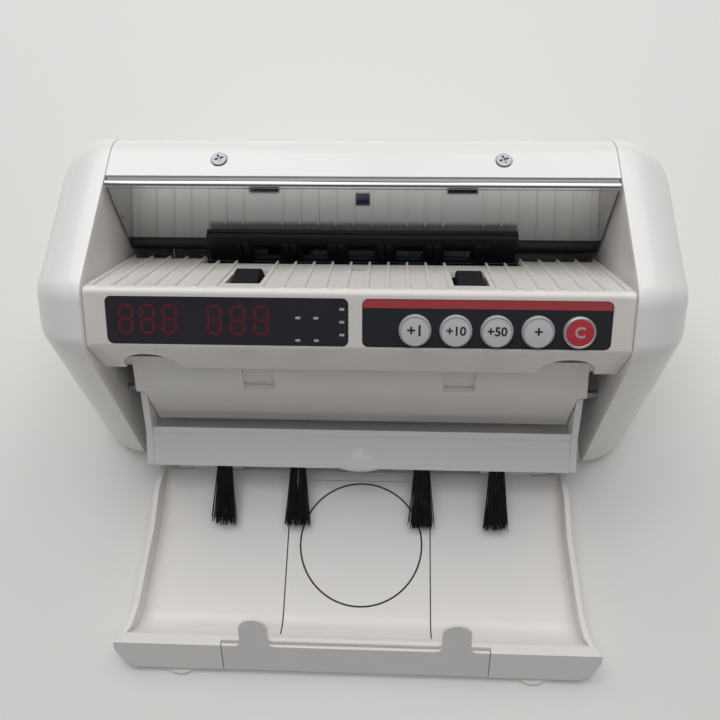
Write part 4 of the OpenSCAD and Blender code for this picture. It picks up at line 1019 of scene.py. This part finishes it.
@dataclass
class Shelf:
    """Fold-in shelf with its finger bump and four bristle tufts.

    Attributes:
        tufts: X of each brush.
        root: Y and Z of the bristles' roots.
        direction: Y and Z direction of the bristles.
        length: Bristle length.
        apart: Half the distance between the two bundles of a brush.
        splay: Sideways lean of a bundle in radians.
        spread: Scatter of that lean.
        count: Bristles in a bundle.
        thick: Diameter of a bristle, drawn coarse enough to show.
        bundle: Width and depth of a bundle at its root.
        keep: Share of the bristles' length that is left when the shelf is folded; not used.
    """

    tufts: tuple[float, ...] = (-56.5, -25.7, 25.7, 56.5)
    root: Point = (-15.0, 17.6)
    direction: Point = (-0.9175, -0.3976)
    length: float = 26.0
    apart: float = 1.6
    splay: float = 0.03
    spread: float = 0.085
    count: int = 80
    thick: float = 0.3
    bundle: Point = (2.9, 1.8)
    keep: float = 0.12

    def build(self) -> None:
        """Builds frame, holders and bristles."""
        dress(refined("note_shelf", "shelf_frame", 0.35), GLOSS_WHITE_ABS.material(), "shelf", "shelf_frame")
        dress(refined("brush_blocks", "brush_holders", 0.2), BLACK_NYLON.material(), "shelf", "brush_holders")
        tufts = self.bristles()
        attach(tufts, "shelf")
        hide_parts("brush_bristles")
        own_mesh(tufts)

    def tree(self) -> bpy.types.NodeTree:
        """Geometry nodes that grow a tuft on each point of a mesh."""
        tree = bpy.data.node_groups.new("bristle_tufts", "GeometryNodeTree")
        face = tree.interface
        face.new_socket("Geometry", in_out="INPUT", socket_type="NodeSocketGeometry")
        sizes = {
            "Length": self.length, "Thickness": self.thick, "Spread": self.spread,
            "Tuft Width": self.bundle[0], "Tuft Depth": self.bundle[1],
        }
        for name, value in sizes.items():
            socket = face.new_socket(name, in_out="INPUT", socket_type="NodeSocketFloat")
            socket.default_value = value
        amount = face.new_socket("Count", in_out="INPUT", socket_type="NodeSocketInt")
        amount.default_value = self.count
        paint = face.new_socket("Material", in_out="INPUT", socket_type="NodeSocketMaterial")
        paint.default_value = BRISTLE.material()
        face.new_socket("Geometry", in_out="OUTPUT", socket_type="NodeSocketGeometry")
        start = add(tree, "NodeGroupInput").outputs
        end = add(tree, "NodeGroupOutput")
        times = {"operation": "MULTIPLY"}
        number = {"data_type": "FLOAT"}
        points = {"Geometry": start["Geometry"], "Amount": start["Count"]}
        copies = add(tree, "GeometryNodeDuplicateElements", {"domain": "POINT"}, points)
        index = add(tree, "GeometryNodeInputIndex").outputs[0]
        place = []
        for size, seed in (("Tuft Width", 3), ("Tuft Depth", 5)):
            far = add(tree, "ShaderNodeMath", {**times, 1: 0.5}, {0: start[size]}).outputs[0]
            near = add(tree, "ShaderNodeMath", {**times, 1: -0.5}, {0: start[size]}).outputs[0]
            links = {2: near, 3: far, "ID": index}
            place.append(add(tree, "FunctionNodeRandomValue", {**number, "Seed": seed}, links).outputs[1])
        across, deep = place
        offset = add(tree, "ShaderNodeCombineXYZ", {}, {"X": across, "Z": deep}).outputs[0]
        scale = {"operation": "SCALE", "Scale": MM}
        metres = add(tree, "ShaderNodeVectorMath", scale, {0: offset}).outputs[0]
        moved = add(tree, "GeometryNodeSetPosition", {}, {"Geometry": copies.outputs[0], "Offset": metres})
        long_m = add(tree, "ShaderNodeMath", {**times, 1: MM}, {0: start["Length"]}).outputs[0]
        tip = add(tree, "ShaderNodeCombineXYZ", {}, {"Z": long_m}).outputs[0]
        stem = add(tree, "GeometryNodeCurvePrimitiveLine", {}, {"End": tip})
        fine = add(tree, "GeometryNodeResampleCurve", {"Count": 7}, {"Curve": stem.outputs[0]})
        thick = add(tree, "ShaderNodeMath", {**times, 1: MM / 2}, {0: start["Thickness"]}).outputs[0]
        ring = add(tree, "GeometryNodeCurvePrimitiveCircle", {"Resolution": 5}, {"Radius": thick})
        outlines = {"Curve": fine.outputs[0], "Profile Curve": ring.outputs[0]}
        tube = add(tree, "GeometryNodeCurveToMesh", {"Fill Caps": True}, outlines)
        base = math.atan2(self.direction[0], self.direction[1])
        tilts = {**number, 2: -base - 0.03, 3: -base + 0.05, "Seed": 7}
        tilt_x = add(tree, "FunctionNodeRandomValue", tilts, {"ID": index}).outputs[1]
        fan = add(tree, "ShaderNodeMath", {**times, 1: -1.0}, {0: start["Spread"]}).outputs[0]
        links = {2: fan, 3: start["Spread"], "ID": index}
        tilt_z = add(tree, "FunctionNodeRandomValue", {**number, "Seed": 11}, links).outputs[1]
        lean = add(tree, "GeometryNodeInputNamedAttribute", {"data_type": "FLOAT", "Name": "lean"}).outputs[0]
        splayed = add(tree, "ShaderNodeMath", {"operation": "ADD"}, {0: tilt_z, 1: lean}).outputs[0]
        turn = add(tree, "ShaderNodeCombineXYZ", {}, {"X": tilt_x, "Z": splayed}).outputs[0]
        reaches = {**number, 2: 0.86, 3: 1.0, "Seed": 13}
        reach = add(tree, "FunctionNodeRandomValue", reaches, {"ID": index}).outputs[1]
        size = add(tree, "ShaderNodeCombineXYZ", {"X": 1.0, "Y": 1.0}, {"Z": reach}).outputs[0]
        links = {"Points": moved.outputs[0], "Instance": tube.outputs[0], "Rotation": turn, "Scale": size}
        grown = add(tree, "GeometryNodeInstanceOnPoints", {}, links)
        real = add(tree, "GeometryNodeRealizeInstances", {}, {"Geometry": grown.outputs[0]})
        paints = {"Geometry": real.outputs[0], "Material": start["Material"]}
        painted = add(tree, "GeometryNodeSetMaterial", {}, paints)
        tree.links.new(painted.outputs[0], end.inputs[0])
        return tree

    def bristles(self) -> bpy.types.Object:
        """Grows the four tufts."""
        bm = bmesh.new()
        lean = bm.verts.layers.float.new("lean")
        for x in self.tufts:
            for side in (-1, 1):
                root = bm.verts.new((x + side * self.apart, *self.root))
                root[lean] = side * self.splay
        tufts = object_from("bristle_tufts", bm, outward=False)
        modifier = tufts.modifiers.new("tufts", "NODES")
        modifier.node_group = self.tree()
        items = modifier.node_group.interface.items_tree
        sockets = {s.name: s.identifier for s in items if s.in_out == "INPUT"}
        modifier[sockets["Spread"]] = self.spread
        modifier[sockets["Count"]] = self.count
        applied(tufts)
        LOG.info("bristle_tufts has %d faces", len(tufts.data.polygons))
        return tufts


@dataclass
class Tray:
    """Receiving tray, centre plate, feet and the sliding handle.

    Attributes:
        ring_at: Middle of the ring groove in the centre plate.
        ring: Inner and outer radius of the groove.
        ring_z: Its bottom, and a height clear of the plate.
        shadow: How far the centre plate's sides stand back from the tray.
        liner: How far below the plate's top the painted shade of its gaps lies.
    """

    ring_at: Point = (0.9, -44.5)
    ring: Point = (24.97, 25.63)
    ring_z: Point = (2.5, 2.72)
    shadow: float = 0.35
    liner: float = 0.45

    def floor_plate(self) -> bpy.types.Object:
        """Builds the centre plate, a little narrower than its opening."""
        plate = refined("tray_floor_plate", "tray_centre_plate", 0.08)
        side = max(v.co.x for v in plate.data.vertices)
        for vert in plate.data.vertices:
            if abs(vert.co.x) > side - MM:
                vert.co.x -= math.copysign(self.shadow * MM, vert.co.x)
        return plate

    def gap_shadow_sheet(self) -> bpy.types.Object:
        """Builds a dark copy of the plate, lowered, as painted shade in its side gaps."""
        bed = refined("tray_gap_bed", "tray_centre_plate", 0.0)
        for vert in bed.data.vertices:
            vert.co.z -= self.liner * MM
        return bed

    def ring_shadow_sheet(self) -> bpy.types.Object:
        """Builds a dark ring at the groove's bottom, as painted shade."""
        (near, far), (low, high) = self.ring, self.ring_z
        section = [(near, low), (far, low), (far, high), (near, high)]
        return joined("tray_ring_bed", [turned(section, Matrix.Translation((*self.ring_at, 0)), 96)])

    def build(self) -> None:
        """Builds the tray's pieces."""
        dress(self.floor_plate(), TRAY_WHITE_ABS.material(), "receiving_tray", "tray_centre_plate")
        # Painted shade: dark grey sheets under the plate's side gaps and in the ring groove.
        dress(self.gap_shadow_sheet(), PAINTED_GAP_SHADE.material(), "receiving_tray")
        dress(self.ring_shadow_sheet(), PAINTED_GAP_SHADE.material(), "receiving_tray")
        for name, node, bevel, finish, body in (
            ("receiving_tray", "tray", 0.35, TRAY_WHITE_ABS, "receiving_tray"),
            ("tray_round_feet", "tray_feet", 0.2, PALE_NYLON, "receiving_tray"),
            ("sliding_handle", "carry_handle", 0.3, SATIN_WHITE_ABS, "handle"),
        ):
            dress(refined(name, node, bevel), finish.material(), body, node)


@dataclass
class Drive:
    """Motor, shafts, pulleys, belts, boards and rear ports.

    Attributes:
        housing: Name, node, edge rounding and finish of each fixed piece.
        moving: The same, and the body, of each piece that turns or tilts.
    """

    housing: tuple[tuple[str, str, float, Finish], ...] = (
        ("display_laminate", "display_board", 0.1, GREEN_BOARD),
        ("numeral_blocks", "digit_modules", 0.1, DIM_RED),
        ("indicator_blocks", "indicator_lamps", 0.1, DIM_RED),
        ("tact_switches", "key_switches", 0.15, CHIP_EPOXY),
        ("control_laminate", "main_board", 0.1, GREEN_BOARD),
        ("control_chips", "board_components", 0.15, CHIP_EPOXY),
        ("motor_can", "motor", 0.6, CAN_STEEL),
        ("motor_fasteners", "motor_screws", 0.2, ZINC),
        ("bearing_rings", "shaft_bearings", 0.2, GROUND_STEEL),
        ("note_lamp", "uv_lamp", 0.3, LAMP_GLASS),
        ("ink_head", "magnetic_head", 0.3, CAN_STEEL),
        ("note_sensors", "count_sensors", 0.2, BLACK_NYLON),
        ("mains_inlet", "dc_inlet", 0.25, BLACK_NYLON),
        ("switch_frame", "switch_housing", 0.35, BLACK_NYLON),
        ("motor_belt", "drive_belt", 0.15, BLACK_RUBBER),
        ("pickup_loop", "pickup_belt", 0.15, BLACK_RUBBER),
        ("stacker_loop", "stacker_belt", 0.15, BLACK_RUBBER),
        ("rubber_feet", "base_feet", 0.4, BLACK_RUBBER),
        ("tray_pins", "tray_hinge_pins", 0.2, GROUND_STEEL),
        ("shelf_pins", "shelf_pivot_pins", 0.2, GROUND_STEEL),
    )
    moving: tuple[tuple[str, str, float, Finish, str], ...] = (
        ("switch_rocker", "power_rocker", 0.3, ROCKER_RED, "rocker"),
        ("feed_axle", "feed_shaft", 0.3, GROUND_STEEL, "feed_drum"),
        ("feed_tyres", "feed_rollers", 0.4, BLACK_RUBBER, "feed_drum"),
        ("feed_wheels", "feed_pulleys", 0.15, ACETAL, "feed_drum"),
        ("stacker_axle", "stacker_shaft", 0.3, GROUND_STEEL, "stacker_drum"),
        ("stacker_fingers", "stacker_wheels", 0.1, BLACK_NYLON, "stacker_drum"),
        ("stacker_wheel", "stacker_pulley", 0.15, ACETAL, "stacker_drum"),
        ("motor_wheel", "motor_pulley", 0.15, CAN_STEEL, "motor_rotor"),
    )

    def build(self) -> None:
        """Builds the pieces inside and behind."""
        for name, node, bevel, finish in self.housing:
            dress(refined(name, node, bevel), finish.material(), "housing", node)
        for name, node, bevel, finish, body in self.moving:
            dress(refined(name, node, bevel), finish.material(), body, node)


def main() -> None:
    """Builds the stage and every sub-assembly."""
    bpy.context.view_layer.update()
    Studio().build()
    kinds = (SideCovers, Mouldings, DisplayWindow, Keypad, Hopper, PickupDrum, Shelf, Tray, Drive)
    for part in (kind() for kind in kinds):
        LOG.info("building %s", type(part).__name__)
        part.build()


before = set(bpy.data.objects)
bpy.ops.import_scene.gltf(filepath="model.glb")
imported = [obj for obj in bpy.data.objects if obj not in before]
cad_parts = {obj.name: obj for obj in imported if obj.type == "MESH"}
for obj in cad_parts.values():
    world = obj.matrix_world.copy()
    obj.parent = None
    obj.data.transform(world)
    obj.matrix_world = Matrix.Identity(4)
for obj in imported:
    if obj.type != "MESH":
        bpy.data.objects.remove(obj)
if __name__ == "__main__":
    logging.basicConfig(level=logging.INFO, format="%(name)s: %(message)s")
    main()
